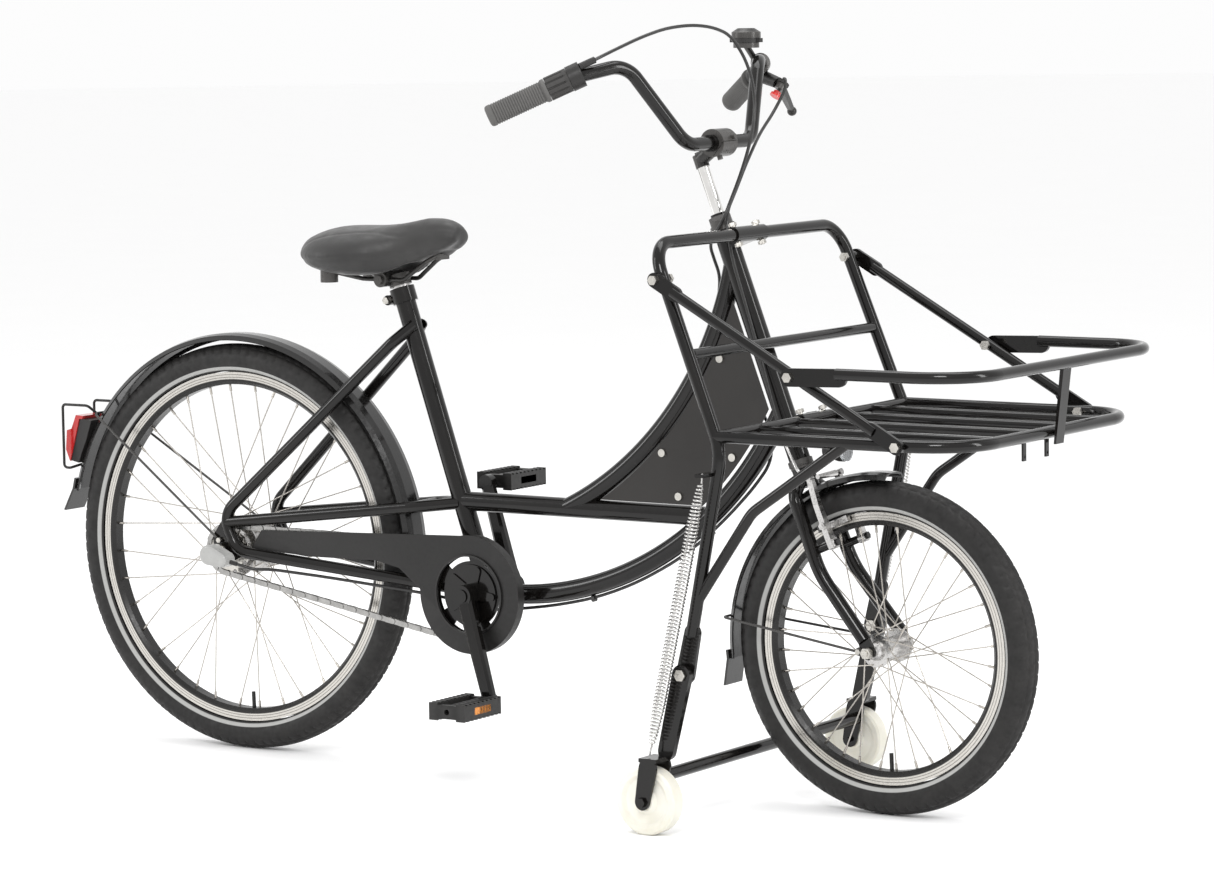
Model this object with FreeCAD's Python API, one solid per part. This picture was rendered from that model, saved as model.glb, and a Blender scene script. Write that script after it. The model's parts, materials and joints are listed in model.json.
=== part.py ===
import FreeCAD, Part
import math
import os

V = FreeCAD.Vector

# Cargo bicycle with a front carrier fixed to the frame and a two-wheeled parking stand.
# Millimetres. While it is built, x = 0 is the rear axle, z = 0 the ground, y = 0 the middle
# plane; +X is forward, +Y the rider's left. At the end everything is moved along X so that the
# origin is the centre of the footprint.

# ------------------------------------------------------------------ driving dimensions
WHEELBASE = 1193.0
REAR_TYRE_R = 330.0
FRONT_TYRE_R = 249.0
TYRE_SECTION = 25.0
REAR_RIM_R = 284.0
FRONT_RIM_R = 203.0
RIM_DEPTH = 20.0
SPOKES = 36
SPOKE_R = 1.0

BB_X, BB_Z = 478.0, 288.0
SEAT_TOP_X, SEAT_TOP_Z = 320.0, 762.0
HEAD_TOP = V(918, 0, 860)
HEAD_BOTTOM = V(1046, 0, 521)
BIG_TUBE_R = 15.9
HEAD_TUBE_R = 16.5
STAY_R = 9.5
STAY_WALL = 1.5
DROPOUT_Y = 66.0

CHAIN_Y = 46.0
CHAIN_PITCH = 12.7
RING_TEETH = 38
SPROCKET_TEETH = 19
CHAIN_LINKS = 104
ROLLER_R = 3.9
CRANK_LENGTH = 168.5
CRANK_ANGLE = 19.4
PEDAL_INNER_Y, PEDAL_OUTER_Y = 100.0, 198.0

STEERER_R = 12.7
QUILL_R = 9.0
SLIDE_GAP = 0.05
BAR_R = 10.4
CLAMP_CENTRE = V(911, 0, 991)

HOOP_R = 9.5
UPRIGHT_Y = 272.0
PLATFORM_Z = 583.0
PLATFORM_FRONT_X = 1471.0
PLATFORM_TUBE_R = 9.0
PLATFORM_CORNER_R = 90.0
SLAT_R = 6.5
RAIL_Z = 683.0
RAIL_Y = 296.0
RAIL_FRONT_X = 1496.0
RAIL_R = 8.5
ARM_R = 8.0
ARM_Y = 288.5

STAND_PIVOT = V(1013, 0, 235)
ROLLER_R_OUT = 50.0
ROLLER_X = 965.0
STAND_ROLLER_Y = 299.0
ROLLER_HALF = 14.0

REAR_GUARD_R = 347.0
FRONT_GUARD_R = 262.0
GUARD_HALF = 28.0
GUARD_SKIN = 2.0

X_AXIS, Y_AXIS, Z_AXIS = V(1, 0, 0), V(0, 1, 0), V(0, 0, 1)
REAR_AXLE = V(0, 0, REAR_TYRE_R)
FRONT_AXLE = V(WHEELBASE, 0, FRONT_TYRE_R)
BB = V(BB_X, 0, BB_Z)
STEER_DOWN = (HEAD_BOTTOM - HEAD_TOP).normalize()
STEER_FRONT = V(-STEER_DOWN.z, 0, STEER_DOWN.x)
SEAT_UP = V(SEAT_TOP_X - BB_X, 0, SEAT_TOP_Z - BB_Z).normalize()


# ------------------------------------------------------------------ geometry helpers
def at(point, y):
    """The same point at another distance from the middle plane."""
    return V(point.x, y, point.z)


def steer(s, front=0.0, y=0.0):
    """A point s below the bottom of the head tube along the steering axis."""
    return HEAD_BOTTOM + STEER_DOWN * s + STEER_FRONT * front + Y_AXIS * y


def seat(s, y=0.0):
    """A point s above the bottom bracket along the seat tube."""
    return BB + SEAT_UP * s + Y_AXIS * y


def mirrored(shape):
    return shape.mirror(V(0, 0, 0), Y_AXIS)


def both(*shapes):
    """Each shape and its mirror image on the other side of the bicycle."""
    result = []
    for shape in shapes:
        result += [shape, mirrored(shape)]
    return result


def cylinder(a, b, r):
    return Part.makeCylinder(r, (b - a).Length, a, b - a)


def ring(a, b, r, bore):
    return cylinder(a, b, r).cut(cylinder(a, b, bore))


def cone(a, b, r_a, r_b):
    return Part.makeCone(r_a, r_b, (b - a).Length, a, b - a)


def bent_path(points, bends):
    """Straight runs joined by tangent arcs, one bend radius for each inner point."""
    if not isinstance(bends, (list, tuple)):
        bends = [bends] * (len(points) - 2)
    edges = []
    start = points[0]
    for before, corner, after, bend in zip(points, points[1:], points[2:], bends):
        run_in = (corner - before).normalize()
        run_out = (after - corner).normalize()
        half_turn = run_in.getAngle(run_out) / 2
        tangent = bend * math.tan(half_turn)
        inward = (run_out - run_in).normalize()
        middle = corner + inward * (bend / math.cos(half_turn) - bend)
        arc_start = corner - run_in * tangent
        arc_end = corner + run_out * tangent
        edges.append(Part.LineSegment(start, arc_start).toShape())
        edges.append(Part.Arc(arc_start, middle, arc_end).toShape())
        start = arc_end
    edges.append(Part.LineSegment(start, points[-1]).toShape())
    return Part.Wire(edges)


def rod(points, r, bends=30.0):
    """A solid round bar along a bent path."""
    path = bent_path(points, bends)
    profile = Part.Wire(Part.makeCircle(r, points[0], points[1] - points[0]))
    return path.makePipeShell([profile], True, True)


def tube(points, r, wall, bends=30.0):
    return rod(points, r, bends).cut(rod(points, r - wall, bends))


def arc_bar(centre, bend, start, end, r):
    """A round bar bent to one radius in the middle plane, between two angles from forward."""
    points = [polar(centre, bend, angle) for angle in (start, (start + end) / 2, end)]
    path = Part.Wire([Part.Arc(*points).toShape()])
    along = polar(V(0, 0, 0), 1, start + 90)
    profile = Part.Wire(Part.makeCircle(r, points[0], along))
    return path.makePipeShell([profile], True, True)


def plate(outline, y0, y1):
    """A flat plate with an outline of (x, z) points, between two distances from the middle."""
    corners = [V(x, y0, z) for x, z in outline]
    face = Part.Face(Part.makePolygon(corners + corners[:1]))
    return face.extrude(V(0, y1 - y0, 0))


def link_plate(a, b, r_a, r_b, y0, y1):
    """A plate with two round ends joined by tangent sides, such as a lug or a crank arm."""
    a, b = at(a, y0), at(b, y0)
    along = (b - a).normalize()
    side = V(-along.z, 0, along.x)
    lean = math.asin((r_a - r_b) / (b - a).Length)
    up = side * math.cos(lean) + along * math.sin(lean)
    down = side * -math.cos(lean) + along * math.sin(lean)
    wire = Part.Wire([
        Part.Arc(a + up * r_a, a - along * r_a, a + down * r_a).toShape(),
        Part.LineSegment(a + down * r_a, b + down * r_b).toShape(),
        Part.Arc(b + down * r_b, b + along * r_b, b + up * r_b).toShape(),
        Part.LineSegment(b + up * r_b, a + up * r_a).toShape(),
    ])
    return Part.Face(wire).extrude(V(0, y1 - y0, 0))


def box(centre, size):
    corner = centre - size * 0.5
    return Part.makeBox(size.x, size.y, size.z, corner)


def turned(shape, centre, axis, degrees):
    result = shape.copy()
    result.rotate(centre, axis, degrees)
    return result


def spun(profile, centre, degrees=360.0, start=0.0):
    """A wire of (y, radius) in the plane above the centre, turned round the Y axis through it.

    Angles are measured from straight forward towards straight up."""
    face = Part.Face(profile)
    face.translate(centre)
    face.rotate(centre, Y_AXIS, 90.0 - start)
    return face.revolve(centre, V(0, -1, 0), degrees)


def polygon_profile(points):
    corners = [V(0, y, r) for y, r in points]
    return Part.makePolygon(corners + corners[:1])


def hexagon(centre, direction, across, height):
    """A hexagonal nut or bolt head standing on a point."""
    direction = V(direction).normalize()
    helper = Z_AXIS if abs(direction.z) < 0.9 else X_AXIS
    u = direction.cross(helper).normalize()
    w = direction.cross(u)
    r = across / math.sqrt(3)
    corners = []
    for k in range(7):
        angle = math.radians(60 * k)
        corners.append(centre + u * (r * math.cos(angle)) + w * (r * math.sin(angle)))
    return Part.Face(Part.makePolygon(corners)).extrude(direction * height)


def bolt(head, tip, r, across, head_height, nut_at=None):
    """A hexagon bolt from its head's underside to its tip, with a nut on the way."""
    direction = (tip - head).normalize()
    shape = cylinder(head, tip, r).fuse(hexagon(head, direction * -1, across, head_height))
    if nut_at is not None:
        shape = shape.fuse(hexagon(head + direction * nut_at, direction, across, r * 1.6))
    return shape


def keep(shape, point):
    """The one solid of a shape whose centre of mass is nearest to a point."""
    return min(shape.Solids, key=lambda solid: (solid.CenterOfMass - point).Length)


def lozenge_wire(x, half, low, high, crown):
    """A closed smooth section across the bicycle at x, flat below and crowned above."""
    middle = (low + high) / 2
    points = [
        V(x, 0, low),
        V(x, half * 0.75, low),
        V(x, half, low + (middle - low) * 0.7),
        V(x, half * 0.86, high - crown * 0.62),
        V(x, half * 0.45, high - crown * 0.12),
        V(x, 0, high),
    ]
    points += [V(x, -p.y, p.z) for p in points[-2:0:-1]]
    curve = Part.BSplineCurve()
    curve.interpolate(points, PeriodicFlag=True)
    return Part.Wire(curve.toShape())


# ------------------------------------------------------------------ frame tubes
SEAT_TUBE_END = 491.0
LOWER_ARC = (V(513.8, 0, 851.5), 565.6, -93.6, -26.4)
UPPER_ARC = (V(389.6, 0, 931.2), 558.4, -64.5, -12.5)
MIDDLE_Z = 427.0
MIDDLE_END_X = 887.6
MIDDLE_TUBE_R = 15.0
LOWER_TUBE_R = 15.5
UPPER_TUBE_R = 15.0


def seat_axis_x(z):
    return BB_X + (z - BB_Z) * SEAT_UP.x / SEAT_UP.z


def head_envelope(extra=0.0):
    return cylinder(HEAD_TOP, HEAD_BOTTOM, HEAD_TUBE_R + extra)


def seat_envelope():
    return cylinder(BB, seat(SEAT_TUBE_END + 30), BIG_TUBE_R)


def shell_envelope():
    return cylinder(at(BB, -37), at(BB, 37), 20)


def lower_envelope(extra=0.0):
    return arc_bar(*LOWER_ARC, LOWER_TUBE_R + extra)


def upper_envelope(extra=0.0):
    return arc_bar(*UPPER_ARC, UPPER_TUBE_R + extra)


def middle_path():
    return [V(seat_axis_x(MIDDLE_Z), 0, MIDDLE_Z), V(MIDDLE_END_X, 0, MIDDLE_Z)]


def middle_envelope(extra=0.0):
    return cylinder(*middle_path(), MIDDLE_TUBE_R + extra)


def head_tube():
    return [ring(HEAD_TOP, HEAD_BOTTOM, HEAD_TUBE_R, 15.2)]


def headset():
    """Lower and upper cups and the lock nut; the fork's steerer turns inside them."""
    bore = STEERER_R + SLIDE_GAP
    parts = [ring(steer(0), steer(9), 19, bore), ring(steer(9.2), steer(13), 17.5, bore)]
    top = HEAD_TOP
    up = STEER_DOWN * -1
    parts.append(ring(top, top + up * 8, 19, bore))
    parts.append(ring(top + up * 8.2, top + up * 15, 17, bore))
    nut = hexagon(top + up * 15.2, up, 29, 7)
    parts.append(nut.cut(cylinder(top + up * 15, top + up * 23, bore)))
    return parts


def seat_tube():
    outer = cylinder(BB, seat(SEAT_TUBE_END), BIG_TUBE_R)
    bore = cylinder(BB, seat(SEAT_TUBE_END), 13.5 + SLIDE_GAP)
    return [outer.cut(bore).cut(shell_envelope())]


def seat_clamp():
    """Collar round the top of the seat tube with a pinch bolt through two lugs behind it."""
    low, high = seat(SEAT_TUBE_END - 20), seat(SEAT_TUBE_END + 4)
    collar = cylinder(low, high, 20).cut(cylinder(low, high, BIG_TUBE_R + SLIDE_GAP))
    back = SEAT_UP.cross(Y_AXIS)
    centre = seat(SEAT_TUBE_END - 8) + back * 25
    lugs = cylinder(at(centre, -11), at(centre, 11), 8)
    collar = collar.fuse(lugs).cut(cylinder(low, high + SEAT_UP * 4, BIG_TUBE_R + SLIDE_GAP))
    slit = box(at(centre, 0) - back * 6, V(34, 2, 60))
    collar = keep(collar.cut(slit).cut(cylinder(at(centre, -20), at(centre, 20), 3.1)), centre)
    pin = bolt(at(centre, -11.1), at(centre, 17), 3, 10, 7, nut_at=22.3)
    return [collar, pin]


def bottom_bracket():
    shell = ring(at(BB, -36.5), at(BB, 36.5), 20, 17)
    cup = ring(at(BB, 27), at(BB, 39), 16.95, 8.05)
    return [shell, cup, mirrored(cup)]


def down_tube():
    shape = lower_envelope().cut(lower_envelope(-1.6)).cut(shell_envelope()).cut(head_envelope())
    return [keep(shape, V(800, 0, 370))]


def middle_tube():
    path = middle_path()
    shape = ring(*path, MIDDLE_TUBE_R, MIDDLE_TUBE_R - 1.6)
    shape = shape.cut(seat_envelope()).cut(lower_envelope())
    return [keep(shape, V(650, 0, MIDDLE_Z))]


def upper_tube():
    shape = upper_envelope().cut(upper_envelope(-1.6))
    shape = shape.cut(head_envelope()).cut(middle_envelope())
    return [keep(shape, V(850, 0, 600))]


PANEL_GAP = 4.0
PANEL_SCREWS = [(914, 668), (934, 520), (838, 456), (809, 521)]


def frame_panel():
    """Flat plate filling the space between the head tube and the three curved tubes."""
    outline = [(640, MIDDLE_Z), (MIDDLE_END_X, MIDDLE_Z), (1020, 600), (934, 810)]
    shape = plate(outline, -9, -6)
    for envelope in (head_envelope, lower_envelope, middle_envelope, upper_envelope):
        shape = shape.cut(envelope(PANEL_GAP))
    shape = keep(shape, V(900, -8, 560))
    screws = []
    for x, z in PANEL_SCREWS:
        head = cylinder(V(x, -9.1, z), V(x, -12, z), 6)
        screws.append(head.fuse(cylinder(V(x, -9.1, z), V(x, -2, z), 2.5)))
        shape = shape.cut(cylinder(V(x, -10, z), V(x, -5, z), 2.7))
    return [shape] + screws


def stay_loop():
    """One side's seat stay and chain stay: a single tube bent round the dropout."""
    return [V(352, -9, 702), V(322, -30, 673), V(6, -DROPOUT_Y, 388), V(34, -DROPOUT_Y, 331),
            V(462, -26, 290)]


STAY_LOOP_BENDS = [35, 37, 37]


def rear_stays():
    """Both stay loops, both horizontal stays and the two axle plates welded inside the bends."""
    loop = tube(stay_loop(), STAY_R, STAY_WALL, STAY_LOOP_BENDS)
    loop = keep(loop.cut(seat_envelope()).cut(shell_envelope()), V(180, -50, 430))
    envelope = rod(stay_loop(), STAY_R, STAY_LOOP_BENDS)
    path = [V(15, -DROPOUT_Y, 377), V(368, -41, 418), V(430, -9, 424)]
    middle = tube(path, STAY_R, STAY_WALL, 60)
    middle = keep(middle.cut(envelope).cut(seat_envelope()), V(250, -50, 400))
    outline = [(36, 388), (10, 386), (-12, 356), (-14, 318), (4, 306), (34, 318), (60, 330), (52, 360)]
    drop = plate(outline, -DROPOUT_Y - 2.5, -DROPOUT_Y + 2.5)
    slot = box(V(-12, -DROPOUT_Y, REAR_TYRE_R), V(24, 10, 10.4))
    hole = cylinder(at(REAR_AXLE, -90), at(REAR_AXLE, -50), 5.2)
    drop = drop.cut(slot).cut(hole).cut(envelope).cut(rod(path, STAY_R, 60))
    drop = keep(drop, V(10, -DROPOUT_Y, 340))
    stay_hole = V(2, -DROPOUT_Y, 348)
    drop = drop.cut(cylinder(at(stay_hole, -80), at(stay_hole, -50), 2.6))
    bridge = tube([V(352, -43, 416), V(352, 43, 416)], 8, 1.5).cut(seat_envelope())
    for shape in both(rod(path, STAY_R, 60)):
        bridge = bridge.cut(shape)
    return both(loop, middle, drop) + [keep(bridge, V(352, 0, 416))]


# ------------------------------------------------------------------ rear axle, guard, lamp
def rear_axle():
    """Axle, washers and nuts, and the screws that hold the mudguard stay."""
    axle = cylinder(at(REAR_AXLE, -88), at(REAR_AXLE, 84), 4.9)
    parts = [axle]
    for side in (-1, 1):
        inner = side * (DROPOUT_Y + 2.6)
        washer = ring(at(REAR_AXLE, inner), at(REAR_AXLE, inner + side * 2), 11, 4.95)
        nut = hexagon(at(REAR_AXLE, inner + side * 2.1), V(0, side, 0), 15, 9)
        nut = nut.cut(cylinder(at(REAR_AXLE, inner), at(REAR_AXLE, inner + side * 14), 4.95))
        cone_nut = ring(at(REAR_AXLE, side * 52.5), at(REAR_AXLE, side * (DROPOUT_Y - 2.6)), 9, 4.95)
        screw_at = V(2, side * (DROPOUT_Y + 5.4), 348)
        screw = bolt(screw_at, at(screw_at, side * (DROPOUT_Y - 6)), 2.5, 8, 3.5)
        parts += [washer, nut, cone_nut, screw]
    return parts


def shifter_box():
    """Gear change box clipped over the right end of the rear axle."""
    low, high = -106.0, -80.5
    body = link_plate(V(2, 0, 327), V(28, 0, 320), 16, 11.5, low, high)
    body = body.makeFillet(5, [e for e in body.Edges if abs(e.BoundBox.YMin - low) < 0.01
                               and abs(e.BoundBox.YMax - low) < 0.01])
    body = body.cut(cylinder(at(REAR_AXLE, high + 1), at(REAR_AXLE, -94), 8.9))
    inlet = cylinder(V(34, -92, 318), V(50, -89, 314), 3.5)
    return [body, inlet.cut(body)]


def guard_section(radius):
    """Cross-section of a mudguard: a shallow channel with rolled edges."""
    outer = [(-GUARD_HALF, radius - 10), (-GUARD_HALF + 5, radius - 3), (-12, radius),
             (12, radius), (GUARD_HALF - 5, radius - 3), (GUARD_HALF, radius - 10)]
    inner = [(GUARD_HALF - GUARD_SKIN, radius - 11), (GUARD_HALF - 7, radius - 5.4),
             (11, radius - GUARD_SKIN), (-11, radius - GUARD_SKIN), (-GUARD_HALF + 7, radius - 5.4),
             (-GUARD_HALF + GUARD_SKIN, radius - 11)]
    return polygon_profile(outer + inner)


def polar(centre, radius, degrees, y=0.0):
    """A point beside a wheel centre, its angle measured from forward towards up."""
    angle = math.radians(degrees)
    return centre + V(radius * math.cos(angle), y, radius * math.sin(angle))


REAR_GUARD_START, REAR_GUARD_END = 6.0, 167.0
FRONT_GUARD_START, FRONT_GUARD_END = 87.0, 187.0


def mudguard(centre, radius, start, end):
    """The curved channel, and the rubber flap riveted over its lower end and flared outwards."""
    skin = spun(guard_section(radius), centre, end - start, start)
    top = polar(centre, radius + 0.4, end - 3)
    foot = polar(centre, radius + 0.4, end)
    down = polar(V(0, 0, 0), 1, end + 90)
    out = polar(V(0, 0, 0), 1, end)
    tip = foot + down * 40 + out * 11
    outline = [top, foot, tip, tip + out * 4, foot + out * 4, top + out * 4]
    return [skin, plate([(p.x, p.z) for p in outline], -24, 24)]


def rear_mudguard():
    return mudguard(REAR_AXLE, REAR_GUARD_R, REAR_GUARD_START, REAR_GUARD_END)


def wire_stay(axle_end, guard_point, y_out, r=2.0):
    """A wire that runs from one axle end, round behind the mudguard, to the other."""
    path = [at(axle_end, -axle_end.y), at(guard_point, -y_out), at(guard_point, y_out), axle_end]
    return rod(path, r, 9)


REAR_STAY_BACK = polar(REAR_AXLE, REAR_GUARD_R + 3.6, 143.8)


def rear_mudguard_stays():
    start = V(2, DROPOUT_Y + 5.0, 348)
    wire_y = DROPOUT_Y + 6.4
    wire_end = V(-3, wire_y, 352)
    wire = wire_stay(wire_end, REAR_STAY_BACK, GUARD_HALF + 6)
    for side in (-1, 1):
        eye = ring(at(start, side * (DROPOUT_Y + 2.6)), at(start, side * (DROPOUT_Y + 5.2)), 5.5, 2.6)
        wire = wire.fuse(eye)
    for side in (-1, 1):
        wire = wire.cut(cylinder(at(start, side * 60), at(start, side * 80), 2.6))
    clip_centre = polar(REAR_AXLE, REAR_GUARD_R, 143.8)
    clip = box(V(0, 0, REAR_GUARD_R + 2.5), V(16, 14, 4))
    clip = turned(clip, V(0, 0, 0), Y_AXIS, 90 - 143.8)
    clip.translate(REAR_AXLE)
    wire_body = wire_stay(wire_end, REAR_STAY_BACK, GUARD_HALF + 6, 2.1)
    return [keep(wire, V(-150, 0, 450)), keep(clip.cut(wire_body), clip_centre)]


def rear_lamp():
    """Housing on the mudguard, red lens behind it, and a wire loop on each side to guard them."""
    housing = plate([(-296, 524), (-320, 526), (-341, 456), (-322, 452)], -27, 27)
    housing = housing.cut(cylinder(at(REAR_AXLE, -30), at(REAR_AXLE, 30), REAR_GUARD_R + 0.3))
    lens = plate([(-312, 531), (-327, 532), (-337, 509), (-347, 506), (-350, 474), (-342, 455)], -29, 29)
    lens = lens.cut(plate([(-296, 524.2), (-320.2, 526.2), (-341.2, 455.8), (-322, 440)], -30, 30))
    lens = max(lens.Solids, key=lambda solid: solid.Volume)
    loop = rod([V(-289.5, -14, 532), V(-292, -40, 550), V(-345, -40, 550), V(-345, -40, 446),
                V(-333, -40, 445), V(-329, -14, 449)], 2.2, [6, 6, 6, 4, 4])
    return [max(housing.Solids, key=lambda solid: solid.Volume), lens] + both(loop)


# ------------------------------------------------------------------ wheels
def tyre(centre, radius):
    """A hollow casing, open towards the rim."""
    middle = radius - TYRE_SECTION
    skin = 3.5

    def arc(r, start, end):
        points = []
        for degrees in (start, (start + end) / 2, end):
            angle = math.radians(degrees)
            points.append(V(0, r * math.cos(angle), middle + r * math.sin(angle)))
        return Part.Arc(*points).toShape(), points[0], points[2]

    outer, a, b = arc(TYRE_SECTION, -52, 232)
    inner, c, d = arc(TYRE_SECTION - skin, 232, -52)
    wire = Part.Wire([outer, Part.LineSegment(b, c).toShape(), inner, Part.LineSegment(d, a).toShape()])
    return [spun(wire, centre)]


def rim(centre, radius, valve_angle):
    inner = radius - RIM_DEPTH
    profile = polygon_profile([
        (-13.5, radius), (-13.5, inner + 5), (-9, inner), (9, inner), (13.5, inner + 5), (13.5, radius),
        (11.5, radius), (11.5, inner + 8), (8, inner + 4), (-8, inner + 4), (-11.5, inner + 8),
        (-11.5, radius)])
    valve = cylinder(polar(centre, inner - 0.2, valve_angle), polar(centre, inner - 26, valve_angle), 3.2)
    return [spun(profile, centre), valve]


def spokes(centre, rim_inner, flange_r, flange_y, flange_half, crossing):
    """Crossed spokes with their nipples; each spoke passes outside or inside its flange."""
    step = 360.0 / SPOKES
    parts = []
    for k in range(SPOKES):
        side = -1 if k % 2 else 1
        leading = 1 if (k // 2) % 2 else -1
        rim_angle = k * step + step / 2
        hub_angle = rim_angle + leading * crossing
        offset = flange_half + SPOKE_R + (1.1 if leading > 0 else 0.15)
        hub_y = side * (flange_y + leading * offset)
        foot = polar(centre, flange_r, hub_angle, hub_y)
        top = polar(centre, rim_inner - 0.5, rim_angle, side * 3.0)
        neck = top + (foot - top).normalize() * 11
        parts.append(cylinder(foot, neck, SPOKE_R))
        parts.append(cylinder(neck, top, 2.0))
    return parts


def hub(centre, points, bore):
    """A hub shell from its outline of (y, radius) points, from the left end to the right."""
    ends = [(points[0][0], bore), (points[-1][0], bore)]
    return [spun(polygon_profile(list(points) + [ends[1], ends[0]]), centre)]


FRONT_FLANGE_Y, FRONT_FLANGE_R = 31.0, 22.0
REAR_FLANGE_Y, REAR_FLANGE_R = 27.0, 43.0


def front_hub():
    outline = [(-49, 8), (-44, 10), (-40, 13), (-32.5, 15), (-32.5, 25), (-29.5, 25), (-29.5, 15),
               (29.5, 15), (29.5, 25), (32.5, 25), (32.5, 15), (40, 13), (44, 10), (49, 8)]
    return hub(FRONT_AXLE, outline, 4.55)


def rear_hub():
    outline = [(-37.5, 22), (-34, 30), (-28.5, 33), (-28.5, 46), (-25.5, 46), (-25.5, 33), (25.5, 33),
               (25.5, 46), (28.5, 46), (28.5, 33), (42, 28), (51, 14)]
    return hub(REAR_AXLE, outline, 4.95)


# ------------------------------------------------------------------ drive
def pitch_radius(teeth):
    return CHAIN_PITCH / (2 * math.sin(math.pi / teeth))


def chain_path():
    """Pin places round the chain: (x, z, direction) for each link, evenly spaced."""
    r_ring, r_sprocket = pitch_radius(RING_TEETH), pitch_radius(SPROCKET_TEETH)
    run = REAR_AXLE - BB
    distance = run.Length
    base = math.atan2(run.z, run.x)
    lean = math.acos((r_ring - r_sprocket) / distance)
    top, low = base - lean, base + lean
    span = math.sqrt(distance ** 2 - (r_ring - r_sprocket) ** 2)
    ring_arc = r_ring * (2 * math.pi - 2 * lean)
    sprocket_arc = r_sprocket * 2 * lean
    total = 2 * span + ring_arc + sprocket_arc

    def place(s):
        s = s % total
        if s < ring_arc:
            angle = low + s / r_ring
            return BB.x + r_ring * math.cos(angle), BB.z + r_ring * math.sin(angle)
        s -= ring_arc
        start = (BB.x + r_ring * math.cos(top), BB.z + r_ring * math.sin(top))
        end = (r_sprocket * math.cos(top), REAR_AXLE.z + r_sprocket * math.sin(top))
        if s < span:
            t = s / span
            return start[0] + (end[0] - start[0]) * t, start[1] + (end[1] - start[1]) * t
        s -= span
        if s < sprocket_arc:
            angle = top + s / r_sprocket
            return r_sprocket * math.cos(angle), REAR_AXLE.z + r_sprocket * math.sin(angle)
        s -= sprocket_arc
        start = (r_sprocket * math.cos(low), REAR_AXLE.z + r_sprocket * math.sin(low))
        end = (BB.x + r_ring * math.cos(low), BB.z + r_ring * math.sin(low))
        t = s / span
        return start[0] + (end[0] - start[0]) * t, start[1] + (end[1] - start[1]) * t

    return [place(total * k / CHAIN_LINKS) for k in range(CHAIN_LINKS)]


def chain():
    """Inner and outer links in turn, each a pair of plates on two rollers or two pins."""
    pins = chain_path()
    links = []
    for k, (x, z) in enumerate(pins):
        a = V(x, 0, z)
        b = V(pins[(k + 1) % CHAIN_LINKS][0], 0, pins[(k + 1) % CHAIN_LINKS][1])
        if k % 2:
            y0, y1, post, bore = 1.75, 2.75, ROLLER_R, 1.95
        else:
            y0, y1, post, bore = 2.95, 3.95, 1.8, None
        shape = None
        for side in (-1, 1):
            low = -CHAIN_Y + side * y0
            piece = link_plate(a, b, 4.2, 4.2, low, low + side * (y1 - y0))
            shape = piece if shape is None else shape.fuse(piece)
        for centre in (a, b):
            shape = shape.fuse(cylinder(at(centre, -CHAIN_Y - y1), at(centre, -CHAIN_Y + y1), post))
        if bore:
            for centre in (a, b):
                shape = shape.cut(cylinder(at(centre, -CHAIN_Y - 5), at(centre, -CHAIN_Y + 5), bore))
        links.append(shape.Solids[0])
    return links


def toothed_disc(centre, teeth, bore, half_width):
    """A sprocket disc whose tooth gaps seat the chain's rollers."""
    r = pitch_radius(teeth)
    disc = ring(at(centre, -CHAIN_Y - half_width), at(centre, -CHAIN_Y + half_width), r + 2.2, bore)
    pins = chain_path()
    phase = None
    for x, z in pins:
        offset = V(x, 0, z) - V(centre.x, 0, centre.z)
        if abs(offset.Length - r) < 0.05:
            phase = math.degrees(math.atan2(offset.z, offset.x))
            if abs(phase) < 12 or abs(phase) > 168:
                break
    gaps = []
    for k in range(teeth):
        seat_point = polar(centre, r, phase + k * 360.0 / teeth)
        gaps.append(cylinder(at(seat_point, -CHAIN_Y - 5), at(seat_point, -CHAIN_Y + 5), ROLLER_R + 1.1))
    return disc.cut(Part.makeCompound(gaps))


def crank_points(side):
    """Middle of the crank boss and of the pedal eye for one side (-1 right, 1 left)."""
    angle = math.radians(CRANK_ANGLE)
    reach = V(math.sin(angle), 0, -math.cos(angle)) * CRANK_LENGTH * (-side)
    return at(BB, side * 66), at(BB + reach, side * 82)


def crank_arm(side):
    boss, eye = crank_points(side)
    along = (at(eye, 0) - at(boss, 0)).normalize()
    across = V(-along.z, 0, along.x)

    def section(centre, half_wide, half_thick):
        octagon = ((-1, -0.6), (-0.6, -1), (0.6, -1), (1, -0.6), (1, 0.6), (0.6, 1), (-0.6, 1), (-1, 0.6))
        corners = [centre + across * (u * half_wide) + Y_AXIS * (w * half_thick) for u, w in octagon]
        return Part.makePolygon(corners + corners[:1])

    bar = Part.makeLoft([section(boss, 14, 8), section(boss + (eye - boss) * 0.45, 12.5, 7.5),
                         section(eye, 11, 6.5)], True, True)
    shape = bar.fuse(cylinder(at(boss, side * 53), at(boss, side * 75), 17))
    shape = shape.fuse(cylinder(at(eye, side * 75), at(eye, side * 89), 12.5))
    return shape


def pedal_axle(side):
    eye = crank_points(side)[1]
    axle = cylinder(at(eye, side * 89), at(eye, side * (PEDAL_OUTER_Y - 6)), 4.5)
    collar = cylinder(at(eye, side * 89), at(eye, side * 94), 9)
    return axle.fuse(collar)


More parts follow.
